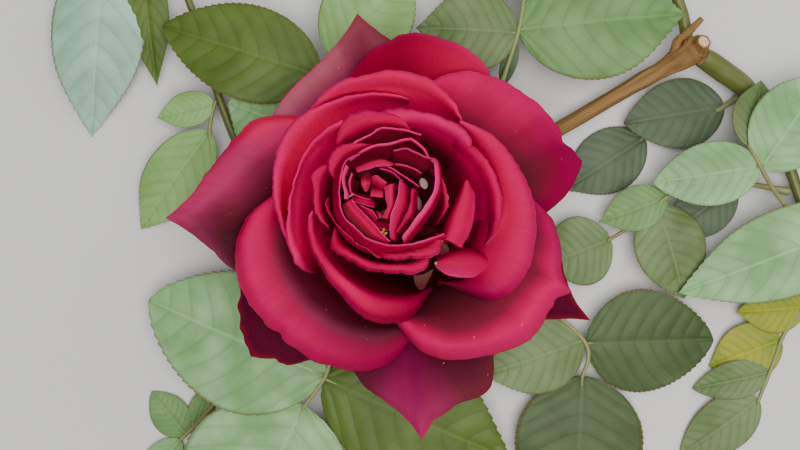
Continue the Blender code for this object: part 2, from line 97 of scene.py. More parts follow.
def ease(low, high, value):
    """0 below low, 1 above high, and a smooth step between them."""
    t = min(max((value - low) / (high - low), 0.0), 1.0)
    return t * t * (3 - 2 * t)


def wander(x, y, seed):
    """Smooth noise from -1 to 1, the same in every run."""
    return noise.noise(Vector((x, y, seed * WANDER_STEP)))


# %% [markdown]
# ## Turning a mesh into a piece
# Every piece ends the same way. Its mesh is made from a bmesh, shaded smooth, given its
# finishes and tied to the body, and the solids that it stands for are hidden. A petal or a
# leaf is first a sheet with no thickness, and a Solidify modifier gives it one. That
# modifier can also give the sheet's rim and its underside a finish of their own.


# %% Finish a piece
def piece_from(bm, name, finishes, nodes, thickness=0.0, rim_finish=0, back_finish=0):
    """Make a bmesh a scene piece. nodes are the solids that it stands for, thickness is in mm."""
    mesh = bpy.data.meshes.new(name)
    bm.to_mesh(mesh)
    bm.free()
    mesh.shade_smooth()
    for finish in finishes:
        mesh.materials.append(finish)
    piece = bpy.data.objects.new(name, mesh)
    bpy.context.scene.collection.objects.link(piece)
    if thickness:
        wall = piece.modifiers.new("thickness", "SOLIDIFY")
        wall.thickness = thickness * MM
        wall.offset = 0.0
        wall.use_even_offset = False
        wall.material_offset_rim = rim_finish
        wall.material_offset = back_finish
    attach(piece, "root")
    if nodes:
        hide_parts(*nodes)
    return piece


# %% [markdown]
# ## Finishes
# Each finish is a Principled shader with its colours worked out by nodes. These helpers
# wire one node each and set its plain values, so that a finish reads as a short recipe.
# Patterns read the piece's own UV map where they follow its shape, and the object's own
# coordinates, in metres, where they don't.


# %% Node helpers
def new_finish(name, roughness):
    material = bpy.data.materials.new(name)
    material.use_nodes = True
    tree = material.node_tree
    shader = tree.nodes["Principled BSDF"]
    shader.inputs["Roughness"].default_value = roughness
    return material, tree, shader


def add_node(tree, kind, links=(), **settings):
    """A node with plain settings and (input, value or source socket) links."""
    node = tree.nodes.new(kind)
    for key, value in settings.items():
        setattr(node, key, value)
    for key, source in links:
        if isinstance(source, bpy.types.NodeSocket):
            tree.links.new(source, node.inputs[key])
        else:
            node.inputs[key].default_value = source
    return node


def coordinates(tree):
    """The piece's UV map, and the place in the object."""
    places = add_node(tree, "ShaderNodeTexCoord")
    return places.outputs["UV"], places.outputs["Object"]


def split_uv(tree, uv):
    split = add_node(tree, "ShaderNodeSeparateXYZ", (("Vector", uv),))
    return split.outputs["X"], split.outputs["Y"]


def maths(tree, operation, first, second=0.0, clamp=False):
    node = add_node(tree, "ShaderNodeMath", ((0, first), (1, second)), operation=operation, use_clamp=clamp)
    return node.outputs[0]


def plus(tree, first, second):
    return maths(tree, "ADD", first, second)


def minus(tree, first, second, clamp=False):
    return maths(tree, "SUBTRACT", first, second, clamp)


def times(tree, first, second, clamp=False):
    return maths(tree, "MULTIPLY", first, second, clamp)


def colour_ramp(tree, factor, stops):
    """stops: (place from 0 to 1, colour) pairs."""
    ramp = add_node(tree, "ShaderNodeValToRGB", (("Fac", factor),))
    elements = ramp.color_ramp.elements
    while len(elements) < len(stops):
        elements.new(0.5)
    for element, (place, colour) in zip(elements, stops):
        element.position = place
        element.color = (*colour, 1.0)
    return ramp.outputs["Color"]


def mixed(tree, factor, first, second, blend="MIX"):
    node = add_node(tree, "ShaderNodeMix", ((0, factor), (6, first), (7, second)), data_type="RGBA",
                    blend_type=blend)
    return node.outputs[2]


def noise_field(tree, vector, scale, detail=3.0, roughness=0.5):
    links = (("Vector", vector), ("Scale", scale), ("Detail", detail), ("Roughness", roughness))
    return add_node(tree, "ShaderNodeTexNoise", links).outputs["Fac"]


def stretched(tree, vector, scale):
    return add_node(tree, "ShaderNodeMapping", (("Vector", vector), ("Scale", scale))).outputs["Vector"]


def add_relief(tree, shader, height, strength, distance):
    """Bump on the shader from a height, whose full depth is distance in metres."""
    links = (("Height", height), ("Strength", strength), ("Distance", distance))
    bump = add_node(tree, "ShaderNodeBump", links)
    tree.links.new(bump.outputs["Normal"], shader.inputs["Normal"])


# %% [markdown]
# ## Petal finishes
# A rose petal is velvet: tiny cones on its skin drink most of the light, so it has hardly
# any gloss and only a faint sheen. Its colour runs from near-black maroon deep in the cup
# to crimson and then to hot pink at the rolled margin, and the near-black maroon is
# painted shade. A ramp gives that by reading the V of the petal's UV map, which runs from
# claw to margin. A second ramp reads U, from side to side, and its colours are painted
# light and shade that multiply the first, so a petal is painted dark where its neighbour
# leans over it and lighter where light falls on it. A slant lays these painted bands
# askew. Fine veins fan out from the claw, made of noise stretched along V, and a few pale
# flecks of dust and scuff break up the skin.

# %% Petal finish recipe
CLOUDS, FLECKS, SKIN_CONES = 55.0, 900.0, 2600.0    # noise scales, in waves for each metre
VEIN_FAN = (95.0, 3.0, 1.0)                         # vein waves across and along the petal
VEIN_SHADE = (0.72, 0.5, 0.7, 1.0)
FLECK_COLOUR = (0.75, 0.25, 0.35, 1.0)
SHEEN_TINT = (1.0, 0.10, 0.20, 1.0)
SLANT_PIVOT = 0.35                                  # the U at which a slant moves nothing
EVEN = ((0.0, (1, 1, 1)), (1.0, (1, 1, 1)))         # shades that change nothing


def petal_finish(name, stops, painted_shades=EVEN, slant=0.0, sheen=0.02, vein_depth=0.2):
    """stops: colours from claw to margin, partly painted shade and light. Side to side: painted light and
    shade.
    """
    material, tree, shader = new_finish(name, 0.6)
    uv, solid = coordinates(tree)
    across, along = split_uv(tree, uv)
    cloud = minus(tree, noise_field(tree, solid, CLOUDS, 2.0), 0.5)
    place = plus(tree, along, times(tree, cloud, 0.14))
    place = minus(tree, place, times(tree, minus(tree, across, SLANT_PIVOT), slant))
    colour = colour_ramp(tree, place, stops)
    # painted light and shade from side to side, multiplied into the colour
    painted_shade = colour_ramp(tree, plus(tree, across, times(tree, cloud, 0.2)), painted_shades)
    colour = mixed(tree, 1.0, colour, painted_shade, "MULTIPLY")
    veins = noise_field(tree, stretched(tree, uv, VEIN_FAN), 1.0, 3.0, 0.6)
    vein_mask = times(tree, minus(tree, veins, 0.45, True), 0.9)
    colour = mixed(tree, vein_mask, colour, VEIN_SHADE, "MULTIPLY")
    fleck = maths(tree, "GREATER_THAN", noise_field(tree, solid, FLECKS, 1.0), 0.80)
    colour = mixed(tree, times(tree, fleck, 0.5), colour, FLECK_COLOUR)
    tree.links.new(colour, shader.inputs["Base Color"])
    relief = plus(tree, veins, times(tree, noise_field(tree, solid, SKIN_CONES, 2.0), 0.25))
    add_relief(tree, shader, relief, vein_depth, 0.5 * MM)
    shader.inputs["Sheen Weight"].default_value = sheen
    shader.inputs["Sheen Roughness"].default_value = 0.35
    shader.inputs["Sheen Tint"].default_value = SHEEN_TINT
    shader.inputs["Specular IOR Level"].default_value = 0.03
    return material


# %% Petal colours
# MAROON and WINE stand deep in the cups as painted shade
MAROON = (0.095, 0.014, 0.017)
WINE = (0.18, 0.007, 0.022)
CRIMSON = (0.34, 0.002, 0.038)
CHERRY = (0.47, 0.0004, 0.058)
# painted light: a brighter red for steep inner faces that the light hardly reaches
PAINTED_GLOW = (0.76, 0.0004, 0.115)
HOT_PINK = (0.57, 0.0005, 0.115)
DARK_PLUM = (0.075, 0.003, 0.020)
PLUM = (0.16, 0.005, 0.038)
# painted sheen: a mauve highlight on the folds of the outermost petals
PAINTED_SHEEN_PLUM = (0.30, 0.030, 0.070)
# painted highlight: light caught on a petal's edge
EDGE_LINE = (0.80, 0.035, 0.20)

# %% [markdown]
# ## Stops and painted shades
# Each kind of petal has its own stops: where the painted shade deep in its cup ends, where
# painted light brightens its steep inner face, which the light hardly reaches, and how
# bright its margin is. The heart and the cup end in a thin pale line, a painted highlight
# where light catches the petal's edge. Shades in the list of finishes, which are painted
# light and shade too, then say how each large petal darkens from one side to the other.

# %% Stops from claw to margin, with painted shade and light
# In every table the dark stops near the claw are painted shade, the glow stops are painted light on steep
# inner faces, and the last stop of the cup and heart tables is a painted highlight on the edge.
CUP_STOPS = ((0.0, MAROON), (0.12, WINE), (0.25, CRIMSON), (0.40, PAINTED_GLOW), (0.56, PAINTED_GLOW), (0.72, CHERRY),
             (0.94, HOT_PINK), (0.985, HOT_PINK), (1.0, EDGE_LINE))
INNER_STOPS = ((0.0, MAROON), (0.28, WINE), (0.42, CRIMSON), (0.52, PAINTED_GLOW), (0.62, PAINTED_GLOW), (0.76, CHERRY),
               (0.92, HOT_PINK), (0.985, HOT_PINK), (1.0, EDGE_LINE))
INNER_RIGHT_STOPS = ((0.0, MAROON), (0.29, WINE), (0.36, CRIMSON), (0.44, PAINTED_GLOW), (0.58, PAINTED_GLOW), (0.72, CHERRY),
                     (0.94, HOT_PINK), (1.0, EDGE_LINE))
# the dark stops are painted shade where this petal turns into the hollow
HOLLOW_STOPS = ((0.0, MAROON), (0.34, WINE), (0.46, CRIMSON), (0.58, PAINTED_GLOW), (0.70, CHERRY), (0.95, HOT_PINK),
                (0.985, HOT_PINK), (1.0, EDGE_LINE))
# the dark stops are painted shade in the hollow, and the mauve stop at 0.64 is a painted sheen on the fold's
# crest
BOWL_LEFT_STOPS = ((0.0, MAROON), (0.38, WINE), (0.54, (0.13, 0.012, 0.030)), (0.64, (0.26, 0.028, 0.075)),
                   (0.70, (0.42, 0.008, 0.070)), (0.82, (0.56, 0.0006, 0.10)), (0.94, (0.50, 0.0005, 0.075)),
                   (1.0, HOT_PINK))
# the long dark stretch is a painted shadow cast by the cup petal next to it
BOWL_RIGHT_STOPS = ((0.0, MAROON), (0.50, MAROON), (0.68, (0.10, 0.008, 0.018)), (0.75, (0.16, 0.010, 0.028)),
                    (0.80, (0.40, 0.001, 0.055)), (0.85, (0.58, 0.0004, 0.09)), (0.91, (0.52, 0.0005, 0.095)),
                    (1.0, (0.44, 0.008, 0.065)))
HEART_STOPS = ((0.0, MAROON), (0.24, WINE), (0.40, CRIMSON), (0.54, (0.56, 0.0005, 0.075)), (0.8, CHERRY),
               (0.97, (0.50, 0.0005, 0.09)), (1.0, EDGE_LINE))
# the near-black stops are painted shade where the inner face drops into the hollow
ARCH_STOPS = ((0.0, MAROON), (0.37, (0.05, 0.005, 0.009)), (0.43, (0.12, 0.005, 0.016)), (0.49, CRIMSON),
              (0.57, PAINTED_GLOW), (0.72, (0.66, 0.0005, 0.12)), (0.95, (0.50, 0.0005, 0.09)), (1.0, EDGE_LINE))
# the flank is painted darker than the rim, as painted shade
WALL_STOPS = ((0.0, MAROON), (0.25, WINE), (0.46, CRIMSON), (0.62, CRIMSON), (0.76, CHERRY), (0.86, HOT_PINK),
              (1.0, EDGE_LINE))
SKIRT_STOPS = ((0.0, MAROON), (0.48, WINE), (0.66, CRIMSON), (0.90, CHERRY), (1.0, HOT_PINK))
SKIRT_RIGHT_STOPS = ((0.0, MAROON), (0.55, WINE), (0.68, (0.22, 0.011, 0.042)), (0.76, (0.34, 0.005, 0.052)),
                     (0.84, (0.48, 0.0006, 0.075)), (0.93, (0.57, 0.0006, 0.10)), (1.0, (0.55, 0.0006, 0.10)))
GUARD_LEFT_STOPS = ((0.0, MAROON), (0.60, (0.09, 0.006, 0.014)), (0.68, (0.13, 0.012, 0.028)),
                    (0.745, (0.24, 0.018, 0.06)), (0.80, (0.40, 0.030, 0.11)), (0.92, (0.50, 0.025, 0.115)),
                    (1.0, CHERRY))
GUARD_STOPS = ((0.0, MAROON), (0.5, DARK_PLUM), (0.74, PLUM), (0.90, PAINTED_SHEEN_PLUM), (0.965, PAINTED_SHEEN_PLUM),
               (1.0, CHERRY))
# painted shade: the stops of the petals that lie in shade
PAINTED_SHADE_STOPS = ((0.0, MAROON), (0.6, DARK_PLUM), (0.9, (0.08, 0.002, 0.018)), (1.0, WINE))

# %% Make the petal finishes
GUARD_SKIN = (0.08, 0.3)      # sheen and vein depth of the outermost petals
FINISH_ROWS = {               # stops, shades, slant, sheen, vein depth
    # The shades in each row are painted light and shade: a petal is painted darker at a side that a neighbour
    # or the hollow shades and lighter where light falls on it. The even lift of the cup rows is painted light
    # on steep faces, and guard_top's strong mauve lift is a painted sheen.
    "cup": (CUP_STOPS, ((0.0, (1.2, 1.5, 1.15)), (1.0, (1.2, 1.5, 1.15)))),
    "heart": (HEART_STOPS,),
    "arch": (ARCH_STOPS,),
    "flake": (((0.0, WINE), (0.4, CRIMSON), (0.75, CHERRY), (0.94, HOT_PINK), (1.0, EDGE_LINE)),),
    "wall": (WALL_STOPS,),
    "cup_right": (HOLLOW_STOPS, ((0.0, (0.12, 1, 0.12)), (0.10, (0.30, 1, 0.28)), (0.20, (0.85, 1, 0.8)),
                                 (0.32, (1.05, 1, 1)), (1.0, (1.15, 1, 1.1)))),
    "cup_left": (CUP_STOPS, ((0.0, (1.3, 1, 1.4)), (0.07, (1.25, 1.5, 1.35)), (0.86, (1.25, 1.5, 1.35)),
                             (0.95, (0.35, 1, 0.3)), (1.0, (0.12, 1, 0.12)))),
    "inner_lower": (INNER_STOPS, ((0.0, (1.0, 1, 1)), (0.48, (1.0, 1, 1)), (0.70, (0.62, 1, 0.55)),
                                  (0.86, (0.42, 1, 0.35)), (1.0, (0.2, 1, 0.2))), 0.28),
    "inner_right": (INNER_RIGHT_STOPS, ((0.0, (0.4, 1, 0.4)), (0.25, (1, 1, 1)), (0.75, (1.2, 1, 1.2)),
                                        (1.0, (0.8, 1, 0.8))), 0.2),
    "claw": (((0.0, (0.11, 0.04, 0.03)), (0.6, (0.085, 0.022, 0.02)), (1.0, (0.10, 0.008, 0.015))),),
    "skirt_top": (SKIRT_STOPS, ((0.0, (0.95, 1, 0.9)), (0.3, (1.05, 1, 0.9)), (0.6, (0.62, 1, 0.5)),
                                (0.85, (0.70, 1, 0.55)), (1.0, (1.1, 1, 0.9)))),
    "skirt_right": (SKIRT_RIGHT_STOPS, ((0.0, (0.42, 1.2, 0.40)), (0.50, (0.46, 1.2, 0.46)),
                                        (0.56, (0.64, 1.1, 0.68)), (0.66, (0.95, 1, 0.9)),
                                        (0.82, (1.2, 1, 1.1)), (1.0, (1.2, 1, 1.1)))),
    "bowl_left": (BOWL_LEFT_STOPS, ((0.0, (1.2, 1, 1)), (0.4, (1.1, 1, 1)), (0.6, (0.9, 0.9, 0.9)),
                                    (0.8, (0.58, 0.7, 0.58)), (1.0, (0.4, 0.7, 0.4))), 0.16),
    "bowl_right": (BOWL_RIGHT_STOPS, ((0.0, (0.9, 1, 0.9)), (0.22, (1, 1, 1)), (0.5, (1.1, 1, 1.1)),
                                      (0.66, (0.85, 1, 1)), (1.0, (0.7, 1, 0.85))), 0.10),
    "guard_top": (GUARD_STOPS, ((0.0, (0.5, 0.8, 0.6)), (0.46, (0.62, 1.2, 0.75)), (0.52, (0.85, 1.4, 0.95)),
                                (0.58, (1.45, 3.2, 1.9)), (0.85, (1.6, 3.8, 2.4)), (1.0, (1.4, 3.0, 2.0))),
                  0.0, *GUARD_SKIN),
    "guard_left": (GUARD_LEFT_STOPS, ((0.0, (1.6, 0.7, 1.1)), (0.2, (1.4, 0.8, 1.05)), (0.3, (1, 1, 1)),
                                      (0.49, (1, 1, 1)), (0.55, (0.5, 0.8, 0.6)), (1.0, (0.36, 0.7, 0.45))),
                   0.43, *GUARD_SKIN),
    "guard_bottom": (GUARD_STOPS, ((0.0, (0.32, 0.4, 0.35)), (0.22, (0.36, 0.4, 0.42)),
                                   (0.36, (0.85, 0.5, 1.0)), (0.50, (1.1, 0.5, 1.25)),
                                   (0.59, (0.85, 0.6, 0.95)), (0.68, (0.45, 0.6, 0.45)),
                                   (1.0, (0.38, 0.5, 0.34))), 0.0, *GUARD_SKIN),
    # painted shade: a dark copy for the petals that lie in shade
    "painted_shade": (PAINTED_SHADE_STOPS, EVEN, 0.0, 0.04),
}
FINISHES = {look: petal_finish("petal_" + look, *row) for look, row in FINISH_ROWS.items()}
# the rim's finish: painted dark up the sides as shade, with a painted highlight at the margin
PETAL_EDGE = petal_finish("petal_edge", ((0.0, MAROON), (0.8, WINE), (0.96, CHERRY),
                                         (1.0, (0.80, 0.04, 0.20))))
print("petal finishes:", ", ".join(FINISHES))

# %% [markdown]
# ## The petals' tables
# One row describes a petal, in millimetres and degrees. level is its place in the spiral,
# start and end its two sides as azimuths. reach gives its margin's radii, evenly spaced
# from side to side. crest is the height of its fold at one side, the middle and the other
# side, wall the radius of its upright part at both sides, and drop how far its margin hangs
# below the fold. point is the azimuth, radius and width of a pointed tip. finish names its
# finish, and ripple says how much the margin wavers. corner draws the margin's corners
# back, and taper narrows its sides. A dent has an azimuth, a width, and how far it goes
# inwards and up.

# %% Outer petals
Petal = namedtuple(
    "Petal", "name level start end reach crest wall drop point finish ripple corner taper dents",
    defaults=(0.22, 0.0, ()))

OUTER_PETALS = [
    Petal("guard_petal_top", 0, 56, 152, (38, 45, 48, 46, 44, 40), (10, 12, 9), (27, 27), 2.0, (98, 59, 8),
          "guard_top", 0.5, 0.0),
    Petal("guard_petal_left", 1, 124, 214, (32, 44, 48, 49, 45, 38), (14, 17, 12), (27, 26), 3.0,
          (181, 60, 7), "guard_left", 0.5, 0.0),
    # this petal and guard_petal_right take the painted shade finish, a dark copy for petals in shade
    Petal("guard_petal_lower_left", 0, 194, 250, (40, 47, 51, 49, 40), (8, 9, 8), (28, 27), 1.5,
          (226, 53.5, 4), "painted_shade", 0.8, 0.05, 0.0, ((208, 1.6, 1.2, 0.5), (217, 1.4, -0.8, 0),
                                                    (232, 1.8, 1.0, 0.4), (241, 1.5, 0.9, 0))),
    Petal("guard_petal_bottom", 0, 252, 313, (40, 47, 51, 54, 55, 42), (9, 12, 10), (27, 27), 2.5,
          (279, 62, 5), "guard_bottom", 0.5, 0.0),
    Petal("guard_petal_right", 0, 317, 367, (44, 51, 51, 47, 41), (8, 10, 8), (27, 27), 1.5, (333, 63.5, 4),
          "painted_shade", 0.4, 0.0),
    Petal("skirt_petal_top", 2, 43, 113, (44, 51, 52, 51, 44, 35), (13, 16, 15), (29, 28), 2.5, None,
          "skirt_top", 0.5),
    Petal("skirt_petal_right", 3, -8, 80, (38, 51, 52, 50, 45, 34), (17, 21, 19), (31, 25), 3.5,
          (15, 55.5, 5), "skirt_right", 0.5, 0.22, 0.0, ((22, 2.0, 0.7, -0.8), (27, 3, -0.2, 0.8),
                                                         (60, 6, 0, 0.6))),
    Petal("bowl_petal_left", 4, 166, 288, (27, 38, 43, 44, 44, 44, 41, 32), (22, 26, 19), (27, 29), 6.0, None,
          "bowl_left", 0.4, 0.22, 0.0, ((229, 2.2, 1.0, 1.2), (223, 3.5, 0.0, -1.2), (252, 5, 0.3, 0.6))),
    Petal("bowl_petal_right", 5, 268, 371, (26, 40, 46, 51, 49, 45, 36), (27, 31, 27), (25.5, 29), 7.5,
          (335.5, 53.8, 3), "bowl_right", 0.4, 0.22, 0.0, ((331.6, 1.3, 0.9, 0.4), (327, 2.0, 0.5, -0.4))),
    Petal("cup_petal_top", 6, 47, 137, (30.5, 33, 34, 33, 33, 31), (33, 40, 31), (29, 29.5), 2.0, None, "cup",
          0.4, 0.22, 0.6),
    Petal("cup_petal_right", 7, 303, 408, (24, 37, 40, 39.4, 37.8, 35.4, 32.8, 28.8), (33, 38, 37),
          (24.5, 27), 7.0, None, "cup_right", 0.3),
    Petal("cup_petal_left", 8, 78, 216, (28.6, 29, 29.5, 31.5, 30.5, 29, 27.5, 27), (33, 39, 31), (28, 25.8),
          2.6, None, "cup_left", 0.4, 0.22, 0.25),
    Petal("inner_petal_left", 9, 108, 224, (23, 24, 24, 23.5, 25, 27.3, 28.8), (38, 41, 37), (21.5, 25), 2.5,
          None, "cup_left", 0.4, 0.22, 0.2),
    Petal("inner_petal_right", 9, 337, 401, (28.8, 29.5, 29, 28, 27, 25), (33, 41, 36), (27.2, 22.8), 3.0,
          None, "inner_right", 0.3, 0.22, 0.5),
    Petal("inner_petal_lower", 10, 186, 298, (20.5, 22, 23.5, 26, 30, 30.5, 26), (34, 38, 31), (18.2, 23.6),
          5.0, None, "inner_lower", 0.4, 0.22, 0.2),
]

# %% The crowded petals of the heart
HEART_PETALS = [
    Petal("arch_right", 12, 30, 100, (26.5, 26.6, 25.3, 24.3, 23.4, 22.6), (37, 41, 37), (24, 17.6), 1.5,
          None, "arch", 0.4, 0.1, 0.5),
    Petal("arch_left", 13, 72, 132, (20.5, 21.6, 22.6, 23.4, 22.6, 20.4), (38, 41, 37), (18, 18.2), 1.0, None,
          "heart", 0.4, 0.1, 0.3),
    Petal("lobe_left", 13, 100, 158, (15, 15.4, 17, 18.4, 18, 16), (37, 41, 38), (14, 14), 1.5, None, "heart",
          0.4, 0.1, 0.7),
    Petal("strip_upper", 12, 142, 204, (17, 19.6, 19, 18.2, 17), (36, 39, 36), (16.5, 16), 0.5, None, "heart",
          0.4, 0.1, 0.8),
    Petal("strip_lower", 13, 176, 268, (16.2, 14.8, 13.6, 13.2, 13.6, 15.4), (36, 39.5, 36), (14.4, 13.2),
          0.3, None, "heart", 0.3, 0.1, 0.5),
    Petal("fold_lower", 12, 206, 312, (17, 18.6, 17.8, 18.3, 18.6, 19.6, 19), (35, 40, 36), (14.5, 16), 3.0,
          None, "heart", 0.4, 0.1, 0.8),
    Petal("fold_inner", 13, 262, 327, (14.6, 15.4, 16.4, 18.6, 17.5), (37, 41.5, 38), (12.4, 14.6), 2.5, None,
          "heart", 0.4, 0.1, 0.5),
    Petal("curtain_right", 13, 338, 395, (14, 15.5, 15, 14.5, 14), (34, 43, 40), (14, 13.5), 0.0, None,
          "heart", 0.3, 0.1, 0.8),
]
print("petals:", len(OUTER_PETALS), "outer,", len(HEART_PETALS), "in the heart")

# %% [markdown]
# ## Shaping a petal
# A petal could be sculpted by hand, but twenty-three sheets that have to nest in each other
# are easier to steer by a formula. A flat grid is bent: across it runs the azimuth, and
# along it a smooth line through seven stations, which are claw, belly, flank, wall,
# shoulder, brim and margin. Near the margin, noise makes the edge wander in and out and
# up and down as real petals do.

# %% Stations of a petal
CLAW_LOWEST = (10.4, 0.3)                    # radius and height of the lowest claw
CLAW_STEP = (-0.62, 0.75)                    # what each level of the spiral adds to them
BELLY, FLANK = (0.46, 0.10), (0.78, 0.36)    # shares of the way out to the wall, and up
WALL, SHOULDER = (0.02, 0.70), (0.34, 0.95)  # shares of the way from wall to margin, and up
BRIM = (0.78, 0.12)                          # the same way out, and a share of the drop
SIDE_POWER, SIDE_DROP = 2.5, 0.5             # how the fold and the drop change at the sides


def petal_azimuth(petal, across):
    """Half of the grid lies on each side of the tip, so that the tip stays sharp."""
    middle = petal.point[0] if petal.point else (petal.start + petal.end) / 2
    if across < 0.5:
        return petal.start + (middle - petal.start) * across * 2
    return middle + (petal.end - middle) * (across - 0.5) * 2


def petal_reach(petal, azimuth):
    span = petal.end - petal.start
    reach = smooth_between(petal.reach, (azimuth - petal.start) / span)
    if petal.point:
        at, tip, width = petal.point
        under = smooth_between(petal.reach, (at - petal.start) / span)
        reach += (tip - under) * math.exp(-abs(azimuth - at) / width)
    return reach


def petal_stations(petal, across, azimuth):
    """Radius and height of the seven stations, from claw to margin."""
    side = across * 2 - 1
    crest_at_side = petal.crest[0] if side < 0 else petal.crest[2]
    crest = petal.crest[1] + (crest_at_side - petal.crest[1]) * abs(side) ** SIDE_POWER
    drop = petal.drop * (1 - (1 - SIDE_DROP) * abs(side) ** 3)
    wall = petal.wall[0] + (petal.wall[1] - petal.wall[0]) * across
    reach = petal_reach(petal, azimuth)
    foot, root = (low + petal.level * step for low, step in zip(CLAW_LOWEST, CLAW_STEP))
    flare = (reach - wall) * (1 - petal.taper * ease(0.80, 1.0, abs(side)))
    swell, rise = wall - foot, crest - root
    stations = [(foot, root)]
    stations += [(foot + out * swell, root + up * rise) for out, up in (BELLY, FLANK)]
    stations += [(wall + out * flare, root + up * rise) for out, up in (WALL, SHOULDER)]
    stations += [(wall + BRIM[0] * flare, crest - BRIM[1] * drop), (wall + flare, crest - drop)]
    return stations


# %% From stations to a sheet
CLAW_SPREAD, BLADE_SPREADS_BY = 0.45, 0.45   # a claw's share of the blade's width, and where it ends
UNDULATION = 0.7                             # how far the blade swells and sinks, in mm


def petal_point(petal, across, along):
    """A point of the petal's middle surface, on the bloom's axes, in metres."""
    azimuth = petal_azimuth(petal, across)
    along *= 1 - petal.corner * abs(across * 2 - 1) ** 6
    stations = petal_stations(petal, across, azimuth)
    radius = smooth_between([s[0] for s in stations], along)
    height = smooth_between([s[1] for s in stations], along)
    seed = petal.start * 0.13 + petal.level
    near_margin = ease(0.5, 1.0, along)
    waves = (wander(azimuth * 0.05, along, seed) + 0.9 * wander(azimuth * 0.17, 0, seed)
             + 0.7 * wander(azimuth * 0.45, 0, seed))
    radius += petal.ripple * near_margin * waves
    height += petal.ripple * near_margin * 1.5 * wander(azimuth * 0.06, along, seed + 3)
    height += UNDULATION * ease(0.35, 0.65, along) * wander(azimuth * 0.07, along * 3.5, seed + 6)
    for at, width, inward, lift in petal.dents:
        dent = near_margin ** 2 * math.exp(-((azimuth - at) / width) ** 2)
        radius -= dent * inward
        height += dent * lift
    middle = petal_azimuth(petal, 0.5)
    spread = CLAW_SPREAD + (1 - CLAW_SPREAD) * min(1.0, along / BLADE_SPREADS_BY)
    angle = math.radians(middle + (azimuth - middle) * spread)
    return Vector((radius * math.cos(angle), radius * math.sin(angle), height)) * MM


def flat_grid(across_faces, along_faces):
    """A grid from -0.5 to 0.5 each way, with a UV map from 0 to 1, ready to be bent."""
    bm = bmesh.new()
    bm.loops.layers.uv.new("UVMap")
    bmesh.ops.create_grid(bm, x_segments=across_faces, y_segments=along_faces, size=0.5, calc_uvs=True)
    return bm


def petal_bmesh(petal, across_faces, along_faces):
    bm = flat_grid(across_faces, along_faces)
    for vert in bm.verts:
        vert.co = BLOOM @ petal_point(petal, vert.co.x + 0.5, vert.co.y + 0.5)
    bmesh.ops.recalc_face_normals(bm, faces=bm.faces)
    return bm


# %% [markdown]
# ## The outer petals
# Each of the fifteen large petals is a piece of its own and stands for its own solid. It
# is a sheet 0.45 mm thick. The sheet's rim takes a finish that is painted dark up its two
# sides, as shade, and pale at the margin, a painted highlight where the cut edge catches
# the light as a thin bright line.

# %% Make the outer petals
PETAL_THICK = 0.45
PETAL_FACES = (90, 56)        # across and along
for petal in OUTER_PETALS:
    piece_from(petal_bmesh(petal, *PETAL_FACES), petal.name + "_fine",
               (FINISHES[petal.finish], PETAL_EDGE), (petal.name,),
               PETAL_THICK, rim_finish=1)
print("outer petals:", len(OUTER_PETALS))

# %% [markdown]
# ## The heart
# The heart is one crowded solid in the frame. Here its petals are separate thin sheets
# joined in one mesh: eight that still follow the spiral, then walls that wind about each
# other round the hollow, and petaloids folded between them. A wall or a petaloid is
# lofted, which means that a sheet runs smoothly through a few lines. A wall's lines are
# worked out from its rim: its foot stands at a share of the rim's radius and a depth below
# it, its belly bulges out, and its margin rolls outwards, or inwards where roll is less
# than nothing. All places are in millimetres on the bloom's own axes.

